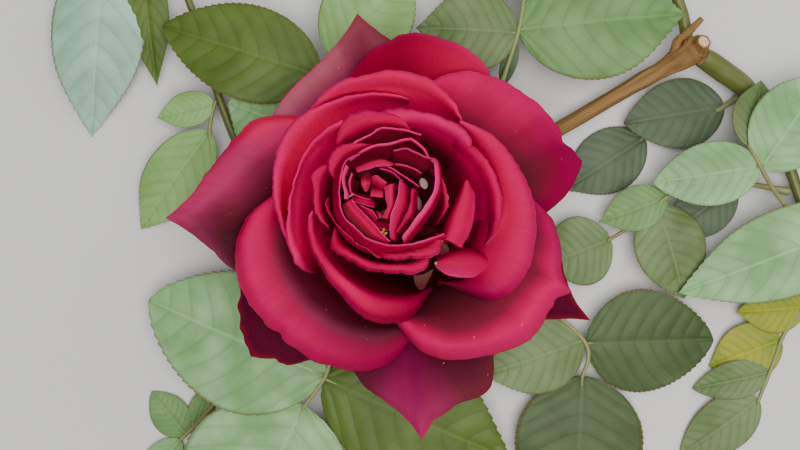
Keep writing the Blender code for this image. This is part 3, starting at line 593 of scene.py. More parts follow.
# %% Walls of the inner ring
Wall = namedtuple("Wall", "name rim foot depth belly roll")
WALLS = [
    Wall("ring_right", ((11.6, 9.6, 44.6), (12.4, 8.6, 45.6), (12.8, 6.0, 46.2), (12.8, 2.6, 46.5),
                        (11.4, -1.3, 46), (8.9, -5.0, 45.5), (6.4, -8.3, 45), (4.0, -11.3, 44)), 0.80, 16,
         1.0, -1.1),
    Wall("ring_left", ((-6.8, 11.4, 42), (-10.4, 9.0, 43), (-11.7, 5.0, 43.5), (-11.9, 0, 43.5),
                       (-11.2, -4.2, 43), (-8.4, -7.4, 42.6), (-4.4, -10.8, 42.4), (0.4, -12, 42.2),
                       (5.5, -11.9, 41.6), (10.2, -10.6, 41), (14.6, -8.9, 40)), 0.80, 14, 1.7, -0.3),
    Wall("arch_fine", ((-10.6, 13.0, 39.5), (-7.6, 14.4, 40.5), (-4.4, 15.9, 41.5), (-1.4, 17.5, 42),
                       (2.0, 17.4, 42), (5.4, 17.0, 41.5), (8.6, 16.2, 40.5)), 0.76, 12, 0.4, 0.35),
    Wall("arch_first", ((-9.3, 9.6, 40), (-6.4, 11.5, 41.5), (-3.0, 12.8, 42.5), (1.0, 13.4, 43),
                        (5.0, 14.3, 43.4), (6.4, 14.2, 43.4), (9.0, 12.0, 43.4), (10.4, 9.4, 43)), 0.68, 13,
         0.6, 0.5),
    Wall("arch_second", ((1.6, 11.6, 42.5), (4.5, 11.9, 43.8), (7.0, 10.9, 44.4), (9.3, 9.8, 44.8),
                         (11.8, 9.2, 45)), 0.62, 12, 0.4, 0.3),
    Wall("left_inner", ((-9.6, 7.9, 41.5), (-10.5, 5.4, 42), (-10.4, 3.4, 42.2), (-9.7, 1.4, 42.4),
                        (-9.6, -0.5, 42.4)), 0.82, 11, 0.3, 0.9),
    Wall("rim_under_arch", ((2.0, 8.4, 41.5), (4.2, 8.0, 42), (6.4, 7.4, 42), (8.6, 6.2, 41.6)), 0.8, 9, 0.5,
         0.3),
    Wall("rim_diagonal", ((0.2, 7.7, 43), (2.2, 6.4, 43.2), (4.2, 5.1, 43.2), (6.2, 3.8, 43),
                          (8.0, 2.7, 42.4)), 1.15, 8, 0.6, 0.25),
    Wall("rim_lower_edge", ((-1.6, 7.4, 42), (0.6, 6.7, 42.2), (2.2, 5.6, 42), (4.0, 4.1, 41.8)), 1.12, 8,
         0.4, 0.2),
    Wall("left_dark", ((-8.6, 6.6, 39), (-9.2, 4, 39), (-8.6, 1.8, 39), (-6.4, 0.6, 39), (-4, 0.2, 38.4)),
         0.8, 8, 0.6, 0.5),
]


def wall_lines(wall):
    """Six lines from a wall's foot to its rolled margin, each as wide as its rim."""
    def line(share, shift, drop):
        points = []
        for x, y, height in wall.rim:
            scale = share + shift / math.hypot(x, y)
            points.append((x * scale, y * scale, height - drop))
        return points

    return [
        line(wall.foot, 0, wall.depth),
        line((1 + wall.foot) / 2, wall.belly * 0.7, wall.depth * 0.72),
        line(1, wall.belly, wall.depth * 0.42),
        line(1, wall.belly * 0.35, 2.2),
        line(1, 0, 0.2),
        line(1, wall.roll, 0),
    ]


print("walls:", ", ".join(wall.name for wall in WALLS))

# %% [markdown]
# ## Petaloids
# Petaloids are stamens that have half turned into petals. They lie as small flakes, folds
# and curtains in the hollow, and no two are alike, so each is given by its own lines, from
# its foot to its margin. Two flaps and two claws lie further out, where the right-hand
# cup petal parts from its neighbours. Flakes take a brighter finish, painted light where
# they catch it, and claws are brown.

# %% Petaloids between the walls
PETALOIDS = {
    "chord": [
        ((-11.2, -1.5, 40.5), (-10.2, -4.4, 40.4), (-7.6, -7.4, 40.2), (-4.2, -10, 40), (0, -11.4, 39.6)),
        ((-10, -1.0, 41.4), (-8.4, -3.2, 41), (-6, -5.8, 40.9), (-3.2, -8.7, 40.8), (0.4, -11.2, 40)),
        ((-8.8, -0.4, 42.4), (-6.8, -2.8, 42.1), (-4.4, -5.4, 42), (-2, -8.1, 41.8), (0.8, -10.8, 40.8)),
    ],
    "folded": [
        ((-8.2, 8.2, 37), (-5, 9.8, 37), (-1.2, 10.2, 37), (2.4, 8.8, 37)),
        ((-7.9, 7.5, 42), (-4.8, 8.8, 43), (-1.2, 9.4, 43.4), (2.0, 8.3, 42.8)),
        ((-7.7, 7.0, 42.8), (-4.6, 7.9, 43.8), (-1.2, 8.6, 44), (1.6, 8.0, 43.2)),
        ((-7.5, 6.4, 42.6), (-4.6, 7.0, 43.2), (-2.2, 7.5, 43.6), (1.1, 7.8, 43.2)),
    ],
    "tongue": [
        ((-6.2, 6.4, 39.6), (-5, 6.9, 40), (-3.8, 6.5, 39.8)),
        ((-6.5, 4.6, 41.6), (-5.2, 4.9, 41), (-4.0, 4.8, 41.8)),
        ((-6.3, 3.2, 41.4), (-5.3, 3.3, 40.8), (-4.3, 3.4, 41.6)),
        ((-5.7, 2.1, 40.8), (-5.3, 1.8, 40.4), (-4.8, 2.1, 40.8)),
    ],
    "bright_flake": [
        ((-3.4, 3.4, 41.2), (-2.3, 2.8, 41.4), (-1.4, 2.4, 41.2), (-0.7, 2.3, 41)),
        ((-3.7, 4.5, 42.2), (-2.6, 4.2, 42.6), (-1.8, 3.6, 42.4), (-0.4, 3.2, 42)),
        ((-3.7, 5.4, 42.2), (-2.4, 5.6, 42.8), (-1.2, 4.6, 42.8), (0.1, 3.8, 42.4)),
    ],
    "square": [
        ((-3.6, 3.4, 40), (-2.3, 2.6, 40.4), (-0.9, 2.2, 40.6)),
        ((-4.0, 1.8, 41), (-2.4, 1.7, 41.3), (-0.9, 1.4, 41.2)),
        ((-4.3, 0.4, 40.8), (-2.6, 0.3, 41.2), (-0.8, 0.2, 41)),
    ],
    "curtain_inner": [
        ((3.2, 4.2, 38.6), (2.9, 1.5, 39), (2.5, -0.8, 39), (1.6, -2.7, 39), (0.9, -4.3, 38.6),
         (0.4, -5.8, 38)),
        ((1.4, 3.6, 41.8), (1.3, 1, 42), (1.4, -1, 42), (1.3, -2.4, 41.8), (0.6, -3.8, 41.4),
         (0, -5.2, 40.6)),
        ((-0.7, 3.0, 41.8), (-0.5, 1.3, 42.2), (-0.4, -0.4, 42.2), (0, -2, 42), (-0.4, -3.5, 41.4),
         (-1.6, -4.8, 40.4)),
    ],
    "curtain_bright": [
        ((6.2, 3.0, 37), (6.5, 0.6, 37.6), (6.2, -2.2, 37.6), (5, -5, 37.6), (3.4, -8, 37.2), (2.4, -11, 37)),
        ((4.9, 3.4, 41), (5.0, 0.8, 41.4), (4.6, -2.0, 41.4), (3.4, -4.7, 41.2), (2.4, -7.6, 40.6),
         (1.8, -10.7, 39.6)),
        ((3.1, 4.4, 43), (2.9, 1.1, 43.6), (2.3, -1.2, 43.4), (1.0, -3.8, 43), (0.7, -6.6, 41.6),
         (0.8, -10, 39.8)),
    ],
    "rolled_edge": [
        ((8.2, 2.0, 38), (8.6, -1.6, 38.4), (8, -4.4, 38.6), (6, -6.8, 38.4), (3.8, -9, 37.6)),
        ((6.9, 2.1, 43), (6.5, -1.0, 43.6), (6.2, -4.0, 43.6), (4.6, -6.2, 43), (2.6, -8.8, 41.4)),
        ((6.2, 2.1, 43.2), (5.9, -0.6, 43.8), (5.4, -3.0, 43.8), (3.9, -5.8, 43), (2.0, -8.8, 41.4)),
    ],
    "scrap_low": [
        ((-8.4, -0.8, 38), (-6.8, -2.4, 38), (-5.2, -4, 38), (-3.4, -6, 37)),
        ((-6.6, -1.6, 39.4), (-4.8, -2.4, 39.6), (-3.4, -3.1, 39.6), (-2.2, -4.8, 38.6)),
    ],
    "scrap_dark": [
        ((-9, 1.6, 36.4), (-7, 1.8, 36.8), (-5, 1.2, 37), (-3.2, 0.4, 36)),
        ((-8.6, -0.4, 38.2), (-6.8, -1.0, 38.6), (-4.8, -1.6, 38.4), (-3.2, -1.8, 37.6)),
    ],
    "scrap_right": [
        ((-2.6, -2.8, 38.8), (-1.4, -3.4, 39.6), (-0.4, -3.8, 39.6)),
        ((-2.6, -3.2, 39), (-2.2, -4.2, 39.8), (-2.0, -5, 39.6)),
    ],
    "scrap_deep": [
        ((-4.8, -3.8, 34), (-2.4, -4.2, 34.4), (1.0, -4.4, 34)),
        ((-3.4, -6.6, 36.6), (-1.6, -7.2, 37), (0.8, -7.6, 37)),
    ],
    "flap_right": [
        ((18.8, 3.6, 30), (17.0, 0, 30), (15.0, -4, 30), (13.8, -7, 30), (12.8, -10, 30)),
        ((19.3, 4.2, 38), (17.7, 0.3, 38.4), (15.9, -4, 38.4), (14.8, -7.3, 38), (14.0, -9.9, 37)),
        ((20.3, 4.9, 39.6), (20.0, 0.8, 40.4), (18.8, -4.3, 40.4), (17.8, -8, 40), (16.4, -10.9, 38.6)),
        ((20.8, 4.2, 38.8), (22.4, 1.0, 38.2), (22.0, -4.5, 38), (20.8, -8.4, 37.6), (18.8, -12.2, 36.6)),
    ],
    "flap_low": [
        ((13, -12, 29), (16, -11, 29), (19.5, -10.8, 29), (23, -11.5, 29), (26, -13, 29)),
        ((12.4, -15.3, 36), (15.8, -13.6, 36.4), (20, -13.0, 36.4), (24, -13.8, 35.6), (28.2, -16.3, 33.4)),
        ((12.2, -15.9, 36.6), (15.2, -16.0, 37.8), (19, -16.2, 37.8), (23.4, -16.6, 36.6),
         (28.4, -16.7, 33.6)),
        ((12.2, -16.4, 36), (14.6, -18.4, 36), (18.3, -19.4, 36), (22.8, -19.1, 34.6), (28.0, -17.0, 33)),
    ],
    "claw_low": [
        ((6.8, -18.6, 33.4), (9.4, -18.4, 34), (11.9, -17.0, 34.4)),
        ((7.2, -20.6, 33), (9.2, -20.6, 33.4), (11.0, -19.2, 33.6)),
        ((8.0, -22.0, 32), (8.8, -22.2, 32), (9.7, -21.6, 32)),
    ],
    "claw_high": [
        ((13.4, -10.4, 36), (14.4, -10.6, 36), (15.4, -11.2, 35.6)),
        ((13.6, -12, 35.4), (14.6, -12.2, 35.4), (15.8, -12.6, 35)),
        ((13.6, -13.8, 34.6), (14.2, -14, 34.6), (14.8, -14, 34.4)),
    ],
}
# these petaloids take the brighter flake finish, painted light where they catch it
FLAKES = ("folded", "bright_flake", "square", "rolled_edge", "curtain_bright", "flap_low")
CLAWS = ("claw_low", "claw_high")
print("petaloids:", ", ".join(PETALOIDS))

# %% Sheets that are joined
SHEET_RIPPLE = 0.22           # how far a sheet wavers near its margin, in mm


def joined(meshes):
    """One bmesh from several, which are freed."""
    whole = bmesh.new()
    for bm in meshes:
        mesh = bpy.data.meshes.new("part")
        bm.to_mesh(mesh)
        bm.free()
        whole.from_mesh(mesh)
        bpy.data.meshes.remove(mesh)
    return whole


def lofted(lines, seed, across_faces, along_faces):
    """A sheet through lines of (x, y, height) points, from its foot to its margin."""
    bm = flat_grid(across_faces, along_faces)
    for vert in bm.verts:
        across, along = vert.co.x + 0.5, vert.co.y + 0.5
        point = smooth_point([smooth_point(line, across) for line in lines], along)
        near_margin = ease(0.4, 1.0, along) * SHEET_RIPPLE
        sway = Vector([near_margin * wander(point.x * 0.5, point.y * 0.5, seed + axis) for axis in range(3)])
        vert.co = BLOOM @ ((point + sway) * MM)
    bmesh.ops.recalc_face_normals(bm, faces=bm.faces)
    return bm


def give_finish(bm, number):
    """Give all faces the finish with this number in the piece's list."""
    for face in bm.faces:
        face.material_index = number
    return bm


# %% Make the heart
HEART_THICK = 0.3
HEART_FINISHES = ("heart", "wall", "flake", "claw", "arch")
HEART_PETAL_FACES, WALL_FACES, PETALOID_FACES = (44, 30), (40, 24), (26, 18)
FIRST_PETALOID_SEED = 20      # the walls use the seeds below it


def petaloid_finish(name):
    return "flake" if name in FLAKES else "claw" if name in CLAWS else "heart"


heart_sheets = []
for petal in HEART_PETALS:
    sheet = petal_bmesh(petal, *HEART_PETAL_FACES)
    heart_sheets.append(give_finish(sheet, HEART_FINISHES.index(petal.finish)))
for seed, wall in enumerate(WALLS):
    sheet = lofted(wall_lines(wall), seed, *WALL_FACES)
    heart_sheets.append(give_finish(sheet, HEART_FINISHES.index("wall")))
for seed, (name, lines) in enumerate(PETALOIDS.items(), FIRST_PETALOID_SEED):
    sheet = lofted(lines, seed, *PETALOID_FACES)
    heart_sheets.append(give_finish(sheet, HEART_FINISHES.index(petaloid_finish(name))))
heart = joined(heart_sheets)
print("heart faces:", len(heart.faces))
piece_from(heart, "heart_petals", [FINISHES[look] for look in HEART_FINISHES], ("bloom_heart",),
           HEART_THICK)

# %% [markdown]
# ## Pale backs, painted glints and stamens
# Here and there the pale back of a folded petal shows as a small smooth patch between its
# neighbours, two small pale spots are painted highlights where an edge catches the light,
# and three anthers peep out of the hollow. Each is only a millimetre or two long, so a
# stretched ball is enough for its shape. Mottling and a fine grain keep it from looking
# like plastic.

# %% Pale petal backs, painted glints and stamens
PALE_BACKS_AND_PAINTED_GLINTS = (                # place, half sizes, turn in degrees, finish
    ((9.2, 3.5, 42.4), (1.0, 1.5, 0.35), 25, 0),
    ((7.9, -1.3, 40.8), (0.9, 1.9, 0.35), 12, 1),
    # painted highlight at the notch of the low flap
    ((12.4, -15.9, 36.8), (0.45, 0.45, 0.3), 0, 0),
    ((13.9, -10.3, 37.0), (0.35, 0.35, 0.3), 30, 0),
    # painted highlight on the tip of the chord petaloid
    ((-9.0, 0.4, 42.6), (0.9, 0.25, 0.3), 30, 0),
)
ANTHERS = ((-1.2, -8.2, 38.4), (-0.3, -8.6, 38.6), (-0.8, -7.6, 37.8))
ANTHER_HALF_SIZES, ANTHER_TURN = (0.6, 0.35, 0.35), 40


def pebble(place, half_sizes, turn):
    """A stretched ball, turned about its upright axis."""
    bm = bmesh.new()
    bmesh.ops.create_icosphere(bm, subdivisions=3, radius=MM, calc_uvs=False)
    matrix = BLOOM @ Matrix.Translation(Vector(place) * MM) @ Matrix.Rotation(math.radians(turn), 4, "Z")
    bmesh.ops.transform(bm, matrix=matrix @ Matrix.Diagonal((*half_sizes, 1.0)), verts=bm.verts)
    return bm


def mottled_finish(name, roughness, flesh, deep):
    """Soft flesh with patches of a deeper colour and a fine grain."""
    material, tree, shader = new_finish(name, roughness)
    _, solid = coordinates(tree)
    patches = times(tree, minus(tree, noise_field(tree, solid, 700.0), 0.35, True), 2.5, True)
    tree.links.new(mixed(tree, patches, (*flesh, 1.0), (*deep, 1.0)), shader.inputs["Base Color"])
    add_relief(tree, shader, noise_field(tree, solid, 3000.0, 2.0), 0.2, 0.3 * MM)
    return material


# the pale finish serves the pale backs and the painted highlights
PALE_BACK_AND_PAINTED_GLINT = mottled_finish("petal_back_pale_and_glint", 0.6, (0.30, 0.185, 0.14), (0.22, 0.13, 0.10))
DIM_BACK = mottled_finish("petal_back_dim", 0.6, (0.145, 0.055, 0.06), (0.105, 0.042, 0.047))
ANTHER = mottled_finish("anther_yellow", 0.7, (0.55, 0.31, 0.07), (0.42, 0.20, 0.045))
backs_and_painted_glints = joined([give_finish(pebble(*row), finish) for *row, finish in PALE_BACKS_AND_PAINTED_GLINTS])
piece_from(backs_and_painted_glints, "pale_backs_and_painted_glints", (PALE_BACK_AND_PAINTED_GLINT, DIM_BACK), ())
anthers = joined([pebble(place, ANTHER_HALF_SIZES, ANTHER_TURN * number)
                  for number, place in enumerate(ANTHERS)])
piece_from(anthers, "anthers", (ANTHER,), ())
print("pale backs:", len(PALE_BACKS_AND_PAINTED_GLINTS), "anthers:", len(ANTHERS))

# %% [markdown]
# ## Leaf finishes
# A rose leaflet is a satin, grey-green blade. Its side veins lie in creases and the flesh
# between them swells a little, so the same curve that shapes the creases also tints them:
# on the upper side the creases are painted darker as painted shade, and the flesh between
# them takes a soft painted highlight. The finish reads the leaflet's UV map: U runs across
# the blade and V along it. A pale midrib, a thin tan margin and soft mottling finish it.
# Leaflets differ in age and in the light that falls on them, and that light is painted
# too: there are a few plain variants that are dealt out by leaflet, the one named shaded
# is a painted shaded copy, and the paler dull one named under is the underside of them all.

# %% Leaf finish recipe
SIDE_VEINS = 8.0          # pairs of side veins
VEIN_SWEEP = 1.9          # how far a side vein climbs between midrib and margin, in veins
VEIN_BEND = 1.35          # how much more of that climb is near the margin
MOTTLE, VEIN_NET = 70.0, 900.0        # pattern scales, in waves or cells for each metre
MIDRIB_NARROWNESS, TAN_FROM = 26.0, 0.955


def leaf_finish(name, flesh, crease, bright, edge):
    """Colours of the blade, its veins (painted shade on top), the painted light between them, and its margin.
    """
    material, tree, shader = new_finish(name, 0.48)
    uv, solid = coordinates(tree)
    across, along = split_uv(tree, uv)
    out = times(tree, maths(tree, "ABSOLUTE", minus(tree, across, 0.5)), 2.0)
    to_tip = times(tree, minus(tree, 1.0, along), 3.0, True)
    climb = times(tree, times(tree, maths(tree, "POWER", out, VEIN_BEND), VEIN_SWEEP), to_tip)
    phase = maths(tree, "FRACT", minus(tree, times(tree, along, SIDE_VEINS), climb))
    from_vein = maths(tree, "ABSOLUTE", minus(tree, phase, 0.5))
    vein = times(tree, minus(tree, from_vein, 0.40, True), 10.0, True)
    midrib = minus(tree, 1.0, times(tree, out, MIDRIB_NARROWNESS, True), True)
    mottle = noise_field(tree, solid, MOTTLE, 3.0)
    colour = mixed(tree, times(tree, minus(tree, mottle, 0.38, True), 2.2, True), flesh, bright)
    # painted highlight: the swelling flesh between the side veins is painted lighter
    painted_swell_highlight = times(tree, maths(tree, "SINE", times(tree, phase, math.pi)),
                  times(tree, minus(tree, mottle, 0.3, True), 1.6, True))
    colour = mixed(tree, times(tree, painted_swell_highlight, 0.55), colour, bright)
    # the side veins take the crease colour: painted shade on the upper side, paler on the underside
    colour = mixed(tree, times(tree, vein, 0.30), colour, crease)
    colour = mixed(tree, times(tree, midrib, 0.6), colour, bright)
    margin = times(tree, minus(tree, out, TAN_FROM, True), 22.0, True)
    colour = mixed(tree, times(tree, margin, 0.8), colour, edge)
    tree.links.new(colour, shader.inputs["Base Color"])
    net = add_node(tree, "ShaderNodeTexVoronoi", (("Vector", solid), ("Scale", VEIN_NET)),
                   feature="DISTANCE_TO_EDGE").outputs["Distance"]
    relief = minus(tree, times(tree, net, 0.6), times(tree, vein, 0.4))
    add_relief(tree, shader, relief, 0.25, 0.4 * MM)
    shader.inputs["Specular IOR Level"].default_value = 0.22
    return material


# %% Make the leaf finishes
EDGE_TAN = (0.22, 0.13, 0.06)
# crease colours are painted shade on the upper side, the pale light between the veins is a painted highlight,
# and the shaded variant is a painted shaded copy
LEAF_COLOURS = {            # flesh, crease, pale light between the veins
    "sage": ((0.11, 0.22, 0.062), (0.075, 0.16, 0.038), (0.20, 0.36, 0.125)),
    "pale": ((0.17, 0.35, 0.12), (0.115, 0.26, 0.07), (0.37, 0.63, 0.30)),
    "frost": ((0.23, 0.42, 0.27), (0.17, 0.33, 0.19), (0.42, 0.66, 0.55)),
    "fresh": ((0.20, 0.36, 0.10), (0.15, 0.29, 0.06), (0.32, 0.52, 0.20)),
    "shaded": ((0.052, 0.085, 0.026), (0.036, 0.06, 0.016), (0.095, 0.145, 0.055)),
    "olive": ((0.066, 0.112, 0.012), (0.045, 0.08, 0.008), (0.12, 0.18, 0.035)),
    "moss": ((0.10, 0.155, 0.045), (0.07, 0.115, 0.028), (0.19, 0.27, 0.11)),
    "deep": ((0.068, 0.105, 0.052), (0.048, 0.08, 0.036), (0.11, 0.155, 0.09)),
    "under": ((0.24, 0.33, 0.19), (0.30, 0.38, 0.23), (0.27, 0.36, 0.22)),
    "yellowing": ((0.18, 0.26, 0.025), (0.13, 0.20, 0.02), (0.42, 0.39, 0.02)),
}
LEAF_FINISHES = {look: leaf_finish("leaf_" + look, *[(*colour, 1.0) for colour in (*colours, EDGE_TAN)])
                 for look, colours in LEAF_COLOURS.items()}
print("leaf finishes:", ", ".join(LEAF_FINISHES))

# %% [markdown]
# ## Stem finishes
# Old bark and green skin are both streaked along the stem and patched here and there, so
# one recipe serves for all stems and stalks. The streaks are noise stretched along V of
# the UV map, and the dots are lenticels, the pores of young bark. A cut end shows cream
# pith with a mottle of its own.


# %% Stem finishes
def stem_finish(name, skin, streak, patch, roughness, streaks, bumpiness):
    """streaks: how many noise waves go round the stem and along it."""
    material, tree, shader = new_finish(name, roughness)
    uv, solid = coordinates(tree)
    grain = noise_field(tree, stretched(tree, uv, (*streaks, 1)), 1.0, 4.0, 0.6)
    blotch = noise_field(tree, solid, 45.0, 3.0)
    colour = mixed(tree, times(tree, minus(tree, grain, 0.4, True), 3.0, True), skin, streak)
    colour = mixed(tree, times(tree, minus(tree, blotch, 0.5, True), 2.6, True), colour, patch)
    tree.links.new(colour, shader.inputs["Base Color"])
    dots = noise_field(tree, solid, 1500.0, 2.0)
    add_relief(tree, shader, plus(tree, grain, times(tree, dots, 0.3)), bumpiness, 0.4 * MM)
    return material


def pith_finish(name, roughness, stops):
    material, tree, shader = new_finish(name, roughness)
    _, solid = coordinates(tree)
    tree.links.new(colour_ramp(tree, noise_field(tree, solid, 1800.0), stops), shader.inputs["Base Color"])
    return material


BARK = stem_finish("old_bark", (0.19, 0.092, 0.018, 1), (0.34, 0.19, 0.05, 1), (0.09, 0.042, 0.010, 1),
                   0.7, (14, 5), 0.9)
GREEN_STEM = stem_finish("green_stem", (0.10, 0.115, 0.018, 1), (0.15, 0.17, 0.035, 1),
                         (0.09, 0.085, 0.014, 1), 0.4, (9, 3), 0.2)
STALK = stem_finish("leaf_stalk", (0.22, 0.25, 0.08, 1), (0.30, 0.30, 0.11, 1), (0.26, 0.12, 0.05, 1),
                    0.45, (6, 4), 0.2)
PITH = pith_finish("cream_pith", 0.75, ((0.3, (0.55, 0.36, 0.17)), (0.65, (0.80, 0.62, 0.38))))
print("stem finishes:", ", ".join(finish.name for finish in (BARK, GREEN_STEM, STALK, PITH)))

# %% [markdown]
# ## Stems
# A stem is a grid rolled round a smooth line. A curve with a bevel could give a plain
# pipe, but a rolled grid can also move each of its points in and out, which makes the
# bark's ridges and the knots where old leaves stood. A cut end is the filled hole, inset
# once so that a ring of bark stands round the cream pith. Each row gives the line, the
# radii along it, and a direction that tells where the seam lies.

# %% The stems' table
Stem = namedtuple("Stem", "name points radii sideways")
ACROSS_CANE = (-0.51, 0.86, 0)
CANE = Stem(
    "cane",
    ((-38, -21, 2.42), (-12, -5.9, 2.42), (20, 12.7, 2.8), (52, 31.3, 4.4), (78, 46.5, 7.2),
     (87, 51.6, 9.0), (91.6, 54.8, 10.6), (92.8, 56.0, 15.0)),
    (2.6, 2.6, 2.5, 2.4, 2.6, 3.8, 3.6, 2.2), ACROSS_CANE)
FLOWER_STEM = Stem(
    "flower_stem",
    ((-13.4, -6.7, 3.0), (-12.4, -6.1, 8.6), (-8, -3.5, 13.7), (-4.9, -1.9, 17.5), (-4.2, -0.9, 21.5)),
    (2.3, 1.9, 1.9, 2.0, 2.2), ACROSS_CANE)
SIDE_SHOOT = Stem(
    "side_shoot",
    ((93.9, 52.1, 8.7), (101, 48.2, 6.2), (109.6, 42.0, 4.4), (117.8, 29.8, 4),
     (124.3, 12.5, 5), (128.7, -4.7, 6), (133.1, -20.4, 5.5), (137, -34, 5)),
    (3.1, 3.6, 3.1, 2.2, 1.8, 1.6, 1.4, 1.2), UP)
UPPER_SHOOT = Stem(
    "upper_shoot", ((89.5, 58.1, 7.3), (88.1, 66, 7.3), (84.8, 75, 7.4), (81.5, 84, 7.2)),
    (2.0, 1.9, 1.8, 1.7), UP)
LEFT_SHOOT = Stem(
    "left_shoot",
    ((-29.0, -14.6, 2.8), (-38, 0, 4.6), (-46, 14, 5.8), (-56, 38, 6.5), (-63, 62, 7.5),
     (-68, 76, 8.5), (-72, 90, 9)),
    (1.5, 1.4, 1.3, 1.3, 1.2, 1.1, 0.9), UP)
DRY_SPUR = Stem(
    "dry_spur", ((85.2, 53.4, 9.4), (85.9, 56.8, 10.3), (89.6, 60.2, 11.0), (93, 63.6, 12.0)),
    (1.7, 1.4, 1.2, 0.9), UP)

# %% Roll a grid into a stem
SEAM_TURN = 1 / 16            # the seam lies a sixteenth of a turn from the stem's side
CUT_RING, CUT_SINK = 0.45, 0.12


def stem_axes(stem, along):
    """The two directions across the stem at a share along it."""
    ahead = smooth_point(stem.points, along + 0.01) - smooth_point(stem.points, along - 0.01)
    tangent = ahead.normalized()
    side = Vector(stem.sideways).cross(tangent).normalized()
    return side, tangent.cross(side)


def stem_radius(stem, along, angle, relief, knots):
    """The radius with the skin's ridges and the swellings of the knots, in mm."""
    radius = smooth_between(stem.radii, along)
    coarse, fine = ((math.cos(angle) * rate, math.sin(angle) * rate) for rate in (2.2, 6))
    skin = wander(*coarse, along * 9 / WANDER_STEP)
    radius += relief * (skin - 0.3 + 0.4 * wander(*fine, along * 4))
    for place, swelling, width in knots:
        radius += swelling * math.exp(-((along - place) / width) ** 2) * (0.75 + 0.5 * skin)
    return radius


def tube_bmesh(stem, sides, parts, relief, knots=(), ends=False):
    """relief: how far the skin wanders in mm. knots: (place along, swelling, width)."""
    bm = flat_grid(sides, parts)
    for vert in bm.verts:
        along, round_it = vert.co.y + 0.5, vert.co.x + 0.5
        angle = math.tau * (round_it + SEAM_TURN)
        side, over = stem_axes(stem, along)
        radius = stem_radius(stem, along, angle, relief, knots)
        spoke = side * math.cos(angle) + over * math.sin(angle)
        vert.co = SHOOT @ ((smooth_point(stem.points, along) + spoke * radius) * MM)
    bmesh.ops.remove_doubles(bm, verts=bm.verts, dist=0.01 * MM)
    caps = bmesh.ops.holes_fill(bm, edges=bm.edges)["faces"]
    if ends:
        bmesh.ops.inset_region(bm, faces=caps, thickness=CUT_RING * MM, depth=-CUT_SINK * MM)
        for cap in caps:
            cap.material_index = 1
    bmesh.ops.recalc_face_normals(bm, faces=bm.faces)
    return bm


# %% Make the stems
STEM_SIDES, PARTS_PER_POINT = 40, 30
STEM_RECIPES = (              # stem, finish, relief, knots, slot
    (CANE, BARK, 0.30, ((0.30, 0.35, 0.02), (0.56, 0.4, 0.02), (0.80, 0.7, 0.03), (0.885, 0.6, 0.02)),
     "old_bark"),
    (DRY_SPUR, BARK, 0.2, (), "old_bark"),
    (FLOWER_STEM, GREEN_STEM, 0.10, ((0.0, 0.5, 0.12), (0.22, 0.35, 0.04)), "stem_green"),
    (SIDE_SHOOT, GREEN_STEM, 0.10, ((0.05, 0.2, 0.04),), "stem_green"),
    (UPPER_SHOOT, GREEN_STEM, 0.08, (), "stem_green"),
    (LEFT_SHOOT, GREEN_STEM, 0.06, (), "stem_green"),
)
for stem, finish, relief, knots, slot in STEM_RECIPES:
    tube = tube_bmesh(stem, STEM_SIDES, PARTS_PER_POINT * len(stem.points), relief, knots, ends=True)
    piece_from(tube, stem.name + "_fine", (finish, PITH), (stem.name,))
    print(stem.name, "radius", stem.radii[0], "to", stem.radii[-1], "mm")

# %% [markdown]
# ## Leaves
# A compound leaf is a stalk with its leaflets and the fine ribs under them. A leaflet
# could be cut from a flat outline, but then it would have no veins to catch the light, so
# it too is a grid that is bent. In the tables a leaflet has its place along the stalk, its
# tip, its width, how high it arches, how far it is rolled to one side in degrees, and how
# blunt its tip is, from 0 to 1. A leaf's blades are one piece, which stands for the leaf's
# solid, and its stalk and ribs are another.

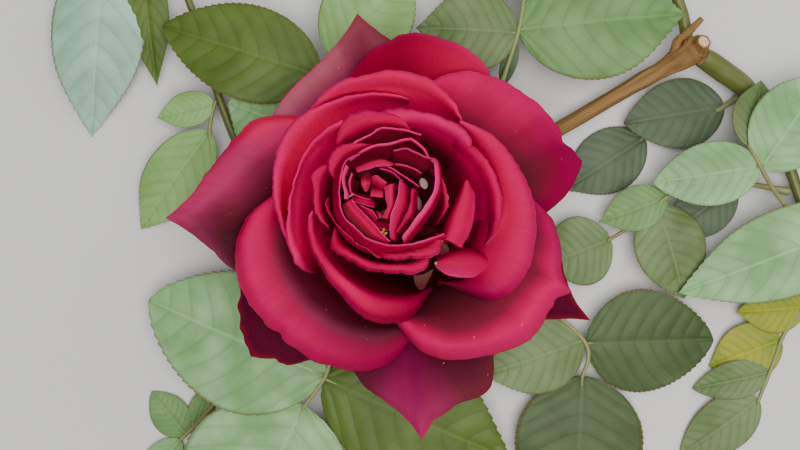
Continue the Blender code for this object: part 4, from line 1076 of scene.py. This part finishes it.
# %% The leaves' table
Leaflet = namedtuple("Leaflet", "share tip width arch roll blunt", defaults=(0.0,))
Leaf = namedtuple("Leaf", "name stalk leaflets")
LEAVES = [
    Leaf("leaf_bottom_left", ((-18.3, -13.4, 3.4), (-20, -24, 9),
                              (-21, -37, 12), (-23, -46.5, 12), (-30, -56.5, 11)), [
        Leaflet(0.75, (-78, -23.3, 9), 43, 3, 0, 1.0),
        Leaflet(0.77, (35, -73, 8.5), 40, 3, 0),
        Leaflet(0.97, (-56, -107, 0.8), 54, 5, 0),
    ]),
    Leaf("leaf_bottom_right", ((16.6, 7.2, 3.4), (26, -5, 7), (42, -22, 8), (58, -37, 7), (57, -48, 6)), [
        Leaflet(0.75, (99, -36, 3.2), 33, 1, -8, 1.0),
        Leaflet(0.73, (25.5, -47, 8), 23, 2, 0),
        Leaflet(0.97, (55, -94, 0.4), 40, 3, 0),
    ]),
    Leaf("leaf_top", ((20.4, 16.9, 3.6), (27, 32, 10), (32, 46, 14), (36, 59, 16), (37.7, 69, 16)), [
        Leaflet(0.76, (88, 65, 12), 35, 3, 0),
        Leaflet(0.74, (5, 60, 16), 25, 2, 0),
        Leaflet(0.97, (40, 107, 6), 30, 4, 0),
        Leaflet(0.70, (31, 41.5, 10), 5, 1, 0),
    ]),
    Leaf("leaf_top_left", ((-11.6, -2.1, 3.2), (-18, 10, 9), (-23, 26, 12.3),
                           (-24.5, 45, 14.6), (-21, 52, 14.5)), [
        Leaflet(0.50, (-53.5, 38, 10.2), 32, 3, 0),
        Leaflet(0.76, (-73, 61, 12.5), 29, 3, 0, 0.9),
        Leaflet(0.97, (4, 80, 9), 28, 3, 0),
    ]),
    Leaf("leaf_left", ((-46.2, 9.9, 5.7), (-52, 13, 6), (-57.5, 19, 7),
                       (-59.3, 29, 8), (-57.2, 38.5, 9.8)), [
        Leaflet(0.75, (-82.6, -1.6, 0.4), 20, 3, 0),
        Leaflet(0.97, (-76, 33.5, 7), 11, 1, 0),
    ]),
    Leaf("leaf_right", ((127.0, -0.1, 8.4), (123.5, 1.8, 8.8), (119, 6, 10.8),
                        (113.5, 12, 14), (109.6, 17.9, 16), (106, 24.5, 15.6)), [
        Leaflet(0.80, (78.3, 13, 10), 19.5, 2, 0, 0.7),
        Leaflet(0.97, (112, 45, 10), 14, 1, 0),
        Leaflet(0.78, (130, 47, 14.5), 24, 2, 0),
    ]),
    Leaf("leaf_far_right", ((137.9, -29, 6.2), (143, -14, 9), (144, 0, 12), (144, 8, 13)), [
        Leaflet(0.72, (86.6, -21.2, 8.5), 27, 3, 0, 0.3),
        Leaflet(0.70, (172, -8, 3), 22, 3, 0),
        Leaflet(0.97, (149, 44, 6), 24, 3, 0),
    ]),
    Leaf("leaf_middle_right", ((122.2, 10.5, 4.6), (106, 13, 7), (92, 11, 8),
                               (83, 8.6, 8), (76, 2, 6.6), (65, -5, 5.2)), [
        Leaflet(0.60, (62.5, 1, 6), 14, 1.5, 0),
        Leaflet(0.68, (89, -23, 6), 22, 2, 0, 0.6),
        Leaflet(0.97, (45, -13, 2.5), 22, 2, 0),
        Leaflet(0.22, (84, -4, 3.5), 17, 2, 0),
    ]),
    Leaf("leaf_far_left", ((-70.7, 77.4, 8.7), (-76, 83.5, 10.5), (-84, 87, 11), (-91, 86, 10.4)), [
        Leaflet(0.97, (-98, 28, 0.4), 29, 4, 0),
        Leaflet(0.50, (-76.5, 44, 4.5), 13, 2, 0),
    ]),
    Leaf("leaf_lower_right", ((131.9, -23.5, 5.3), (127, -26, 5),
                              (121, -34, 4.4), (117, -45, 4), (113, -56, 3)), [
        Leaflet(0.23, (106, -27.5, 3.6), 15, 1, 0),
        Leaflet(0.55, (98, -45, 0.6), 18, 1, 0),
        Leaflet(0.78, (93, -52, 1.2), 12, 1, 0, 0.8),
        Leaflet(0.97, (89, -73.5, 0.4), 17, 1, 0, 0.8),
    ]),
    Leaf("leaf_dark_right", ((106.5, 40.2, 2.5), (99, 35.5, 2.2), (88, 31, 1.6), (77, 27.5, 1.4)), [
        Leaflet(0.20, (70.5, 32, 4.6), 22, 1.5, 0, 0.8),
        Leaflet(0.97, (52, 11, 0.4), 20, 0.6, 0),
    ]),
    Leaf("leaf_small_left", ((-31.0, -21.2, 2.4), (-45, -38, 2.2), (-60, -58, 1.9), (-70, -68.5, 1.8)), [
        Leaflet(0.90, (-79, -53, 0.8), 12, 0.5, 0, 0.8),
        Leaflet(0.80, (-60.5, -51, 1.0), 8, 0.4, 0),
        Leaflet(0.98, (-84, -84, 0.4), 11, 0.5, 0),
    ]),
]

# %% The leaflets' looks
LEAFLET_LOOKS = {
    "leaf_bottom_left": ("pale", "olive", "pale"), "leaf_bottom_right": ("shaded", "moss", "shaded"),
    "leaf_top": ("sage", "moss", "pale", "deep"), "leaf_top_left": ("pale", "olive", "fresh"),
    "leaf_left": ("fresh", "fresh"), "leaf_right": ("pale", "moss", "pale"),
    "leaf_far_right": ("pale", "sage", "pale"), "leaf_middle_right": ("sage", "moss", "moss", "deep"),
    "leaf_far_left": ("frost", "olive"), "leaf_lower_right": ("yellowing", "yellowing", "moss", "moss"),
    "leaf_dark_right": ("deep", "deep"), "leaf_small_left": ("sage", "sage", "pale"),
}
print("leaflets:", sum(len(leaf.leaflets) for leaf in LEAVES))

# %% [markdown]
# ## Shaping a leaflet
# Across the grid runs the blade's width and along it the midrib, which is straight but for
# its arch. The width follows half a sine wave, which is round at the base and pointed at
# the tip. The margin steps out in forward-pointing teeth, the flesh swells between the
# side veins, the midrib lies in a groove, and the whole margin waves a little.

# %% Leaflet formulas
TEETH = 26                                # on each side of a leaflet
BLADE_FACES = (26, TEETH * 4)             # across and along
BLADE_THICK = 0.3
TOOTH_OUT, TOOTH_FORWARD = 0.013, 0.010   # shares of the leaflet's width and of its length
KEEL, PUFF, MARGIN_WAVE = 0.06, 0.012, 0.035
GROOVE_DEEP, GROOVE_WIDE = 0.45, 0.7      # the midrib's groove, in mm


def blade_half_width(along, blunt):
    """Half the blade's width as a share of the full width."""
    taper = 0.66 + (0.42 - 0.38 * blunt) * ease(0.45, 1.0, along)
    return max(0.5 * math.sin(math.pi * min(along, 0.999) ** 0.82) ** taper, 0.006)


def blade_swell(side, along):
    """1 between two side veins and 0 on them, fading out at the midrib and the margin."""
    vein = (along * SIDE_VEINS - VEIN_SWEEP * abs(side) ** VEIN_BEND * min(1.0, 3 - 3 * along)) % 1.0
    return math.sin(math.pi * vein) ** 0.7 * ease(0.02, 0.3, abs(side)) * (1 - ease(0.75, 1.0, abs(side)))


def leaflet_bmesh(leaflet, base, seed, look):
    """look: the number of the leaflet's finish in its piece."""
    tip = Vector(leaflet.tip)
    run = (tip - base).normalized()
    across = Matrix.Rotation(math.radians(-leaflet.roll), 3, run) @ run.cross(UP).normalized()
    over = across.cross(run)
    bm = flat_grid(*BLADE_FACES)
    for vert in bm.verts:
        side, along = vert.co.x * 2, vert.co.y + 0.5
        tooth = (along * TEETH + 0.5) % 1.0
        at_edge = abs(side) ** 9 * (1 - ease(0.93, 0.99, along))
        half = blade_half_width(along, leaflet.blunt) * leaflet.width
        tooth_out = TOOTH_OUT * leaflet.width * at_edge * tooth * min(1.0, half)
        reach = side * half + math.copysign(tooth_out, side)
        rise = leaflet.arch * math.sin(math.pi * along) - KEEL * abs(reach)
        rise += PUFF * leaflet.width * (blade_swell(side, along) - 0.5)
        rise -= GROOVE_DEEP * math.exp(-(reach / GROOVE_WIDE) ** 2)
        rise += MARGIN_WAVE * leaflet.width * side * side * wander(along * 3.0, side, seed)
        point = base.lerp(tip, along + TOOTH_FORWARD * at_edge * tooth) + across * reach + over * rise
        point.z = max(point.z, BLADE_THICK)
        vert.co = SHOOT @ (point * MM)
    bmesh.ops.recalc_face_normals(bm, faces=bm.faces)
    if sum(face.normal.z for face in bm.faces) < 0:
        bmesh.ops.reverse_faces(bm, faces=bm.faces)
    return give_finish(bm, look)


# %% Ribs under the blades
RIB_SHARES = (0.08, 0.3, 0.55, 0.8)       # places along the midrib that the rib follows
RIB_RADII = (0.6, 0.5, 0.4, 0.3, 0.2)
RIB_BELOW, RIB_LOWEST = 1.05, 0.25
RIB_STARTS_BELOW = 0.35


def rib_bmesh(leaflet, base):
    """The rib under a leaflet, from its little stalk to near its tip."""
    tip = Vector(leaflet.tip)
    line = [base - UP * RIB_STARTS_BELOW]
    for share in RIB_SHARES:
        point = base.lerp(tip, share) + UP * (leaflet.arch * math.sin(math.pi * share) - RIB_BELOW)
        line.append(Vector((point.x, point.y, max(point.z, RIB_LOWEST))))
    return tube_bmesh(Stem("rib", line, RIB_RADII, UP), 8, 16, 0.0)


# %% Make the leaves
STALK_RADII = (0.95, 0.8, 0.7, 0.6)
STALK_SIDES, STALK_PARTS_PER_POINT, STALK_RELIEF = 14, 12, 0.05
STALK_FOOT = ((0.0, 0.5, 0.05),)          # one knot where the stalk leaves its shoot
SEEDS_PER_LEAF = 5
for number, leaf in enumerate(LEAVES):
    looks = sorted(set(LEAFLET_LOOKS[leaf.name]))
    stalk = Stem(leaf.name, leaf.stalk, STALK_RADII, UP)
    parts = STALK_PARTS_PER_POINT * len(leaf.stalk)
    stalks = [tube_bmesh(stalk, STALK_SIDES, parts, STALK_RELIEF, STALK_FOOT)]
    blades = []
    for order, (leaflet, look) in enumerate(zip(leaf.leaflets, LEAFLET_LOOKS[leaf.name])):
        base = smooth_point(leaf.stalk, leaflet.share)
        blades.append(leaflet_bmesh(leaflet, base, number * SEEDS_PER_LEAF + order, looks.index(look)))
        stalks.append(rib_bmesh(leaflet, base))
    finishes = [LEAF_FINISHES[look] for look in looks + ["under"]]
    piece_from(joined(blades), leaf.name + "_blades", finishes, (leaf.name,),
               BLADE_THICK, back_finish=len(looks))
    piece_from(joined(stalks), leaf.name + "_stalks", (STALK,), ())
print("leaves:", len(LEAVES))

# %% [markdown]
# ## Hip and sepals
# Under the bloom the receptacle swells into a small hip. It is round about one axis, so a
# profile of half its outline is spun about that axis, as on a lathe. Where the profile
# ends on the axis, the spun points are merged, so no hole is left.

# %% Make the hip
HIP_PROFILE = (               # radius and height, from the stem up into the bloom
    (0, -13), (2.3, -13), (3.3, -11.8), (5.2, -8.6), (5.6, -6.4), (5.0, -3.8), (4.8, -2.9),
    (6.5, -1.9), (9.4, -1.5), (10.5, -1.1), (10.4, -0.55), (4.3, 6.85), (0, 7.4),
)
PROFILE_PARTS, HIP_SIDES = 60, 48
hip_radii, hip_heights = zip(*HIP_PROFILE)
bm = bmesh.new()
bm.loops.layers.uv.new("UVMap")
profile = []
for i in range(PROFILE_PARTS + 1):
    radius = max(smooth_between(hip_radii, i / PROFILE_PARTS), 0)
    height = smooth_between(hip_heights, i / PROFILE_PARTS)
    profile.append(bm.verts.new((radius * MM, 0, height * MM)))
edges = [bm.edges.new(pair) for pair in zip(profile, profile[1:])]
bmesh.ops.spin(bm, geom=profile + edges, axis=UP, cent=(0, 0, 0), steps=HIP_SIDES, angle=math.tau,
               use_merge=True)
bmesh.ops.remove_doubles(bm, verts=bm.verts, dist=0.01 * MM)
bmesh.ops.recalc_face_normals(bm, faces=bm.faces)
bmesh.ops.transform(bm, matrix=BLOOM, verts=bm.verts)
piece_from(bm, "hip_fine", (GREEN_STEM,), ("hip",))
print("hip:", round(2 * max(hip_radii), 1), "mm across")

# %% [markdown]
# Five sepals, which closed round the bud, now bend back under the bloom. Each is a bent
# grid like a petal, with one low keel along it and a slightly ragged margin, turned to its
# place round the hip.

# %% Make the sepals
SEPAL_SPINE = ((5.5, -3.1), (9.0, -2.7), (14.0, -3.2), (20.0, -6.0), (26.0, -11.0))
SEPAL_WIDTHS = (6.0, 8.0, 7.0, 4.0, 0.8)
SEPAL_THICK = 0.5
SEPAL_FACES = (14, 50)        # across and along
SEPALS, FIRST_SEPAL_TURN = 5, 0.35
RAGGED_SEED = 40              # sets the margins' noise apart from the blades'
spine_radii, spine_heights = zip(*SEPAL_SPINE)
for number in range(SEPALS):
    turn = Matrix.Rotation(math.tau * number / SEPALS + FIRST_SEPAL_TURN, 4, "Z")
    bm = flat_grid(*SEPAL_FACES)
    for vert in bm.verts:
        side, along = vert.co.x * 2, vert.co.y + 0.5
        radius = smooth_between(spine_radii, along)
        height = smooth_between(spine_heights, along)
        reach = smooth_between(SEPAL_WIDTHS, along) * 0.5 * side
        reach += 0.25 * side * abs(side) ** 5 * wander(along * 14, side, number + RAGGED_SEED)
        sag = 0.5 * abs(side) - 0.35 * math.cos(side * math.pi * 2) * (1 - along)
        sway = 0.4 * wander(along * 3, side, number)
        vert.co = BLOOM @ turn @ (Vector((radius, reach, height - sag + sway)) * MM)
    bmesh.ops.recalc_face_normals(bm, faces=bm.faces)
    name = f"sepal_{number + 1}"
    piece_from(bm, name + "_fine", (LEAF_FINISHES["sage"],), (name,), SEPAL_THICK)
print("sepals:", SEPALS)

# %% [markdown]
# ## Floor, light and camera
# The shoot lies on a pale floor. A broad soft light overhead, like a hazy sky, models the
# folds, a weaker one from the side lifts the deepest shadows, and a faint even glow from
# the world fills the rest. The camera hangs over the bloom and looks straight down, which
# is what an unturned camera does.

# %% Floor
FLOOR_HALF = 2.0              # metres
bm = bmesh.new()
bmesh.ops.create_grid(bm, x_segments=1, y_segments=1, size=FLOOR_HALF)
floor_mesh = bpy.data.meshes.new("floor")
bm.to_mesh(floor_mesh)
bm.free()
floor = bpy.data.objects.new("floor", floor_mesh)
bpy.context.scene.collection.objects.link(floor)
floor_finish, _, floor_shader = new_finish("floor_paper", 0.9)
floor_shader.inputs["Base Color"].default_value = (0.72, 0.71, 0.69, 1.0)
floor_mesh.materials.append(floor_finish)

# %% Lights
LIGHT_TARGET = (-0.03, 0, 0.05)


def soft_light(name, place, size, power, colour):
    """A round area light that points at the bloom. Sizes are in metres, power in watts."""
    lamp = bpy.data.lights.new(name, "AREA")
    lamp.shape = "DISK"
    lamp.size = size
    lamp.energy = power
    lamp.color = colour
    light = bpy.data.objects.new(name, lamp)
    light.location = place
    light.rotation_euler = (Vector(LIGHT_TARGET) - Vector(place)).to_track_quat("-Z", "Y").to_euler()
    bpy.context.scene.collection.objects.link(light)


soft_light("sky_light", (0.04, -0.12, 0.90), 0.8, 9.5, (1.0, 0.98, 0.96))
soft_light("fill_light", (0.5, 0.5, 0.7), 0.9, 3.0, (0.95, 0.97, 1.0))
world = bpy.data.worlds.new("studio")
world.use_nodes = True
background = world.node_tree.nodes["Background"]
background.inputs["Color"].default_value = (0.75, 0.78, 0.82, 1.0)
background.inputs["Strength"].default_value = 0.30
bpy.context.scene.world = world
print("lights:", len(bpy.data.lights))

# %% Camera
CAMERA_HEIGHT = 354           # over the floor, in mm
camera_data = bpy.data.cameras.new("camera")
camera_data.lens = 50.0
camera_data.sensor_width = 36.0
camera = bpy.data.objects.new("camera", camera_data)
camera.location = (SHOOT_SHIFT[0] * MM, SHOOT_SHIFT[1] * MM, CAMERA_HEIGHT * MM)
bpy.context.scene.collection.objects.link(camera)
bpy.context.scene.camera = camera
print("camera over", SHOOT_SHIFT[:2], "at", CAMERA_HEIGHT, "mm")
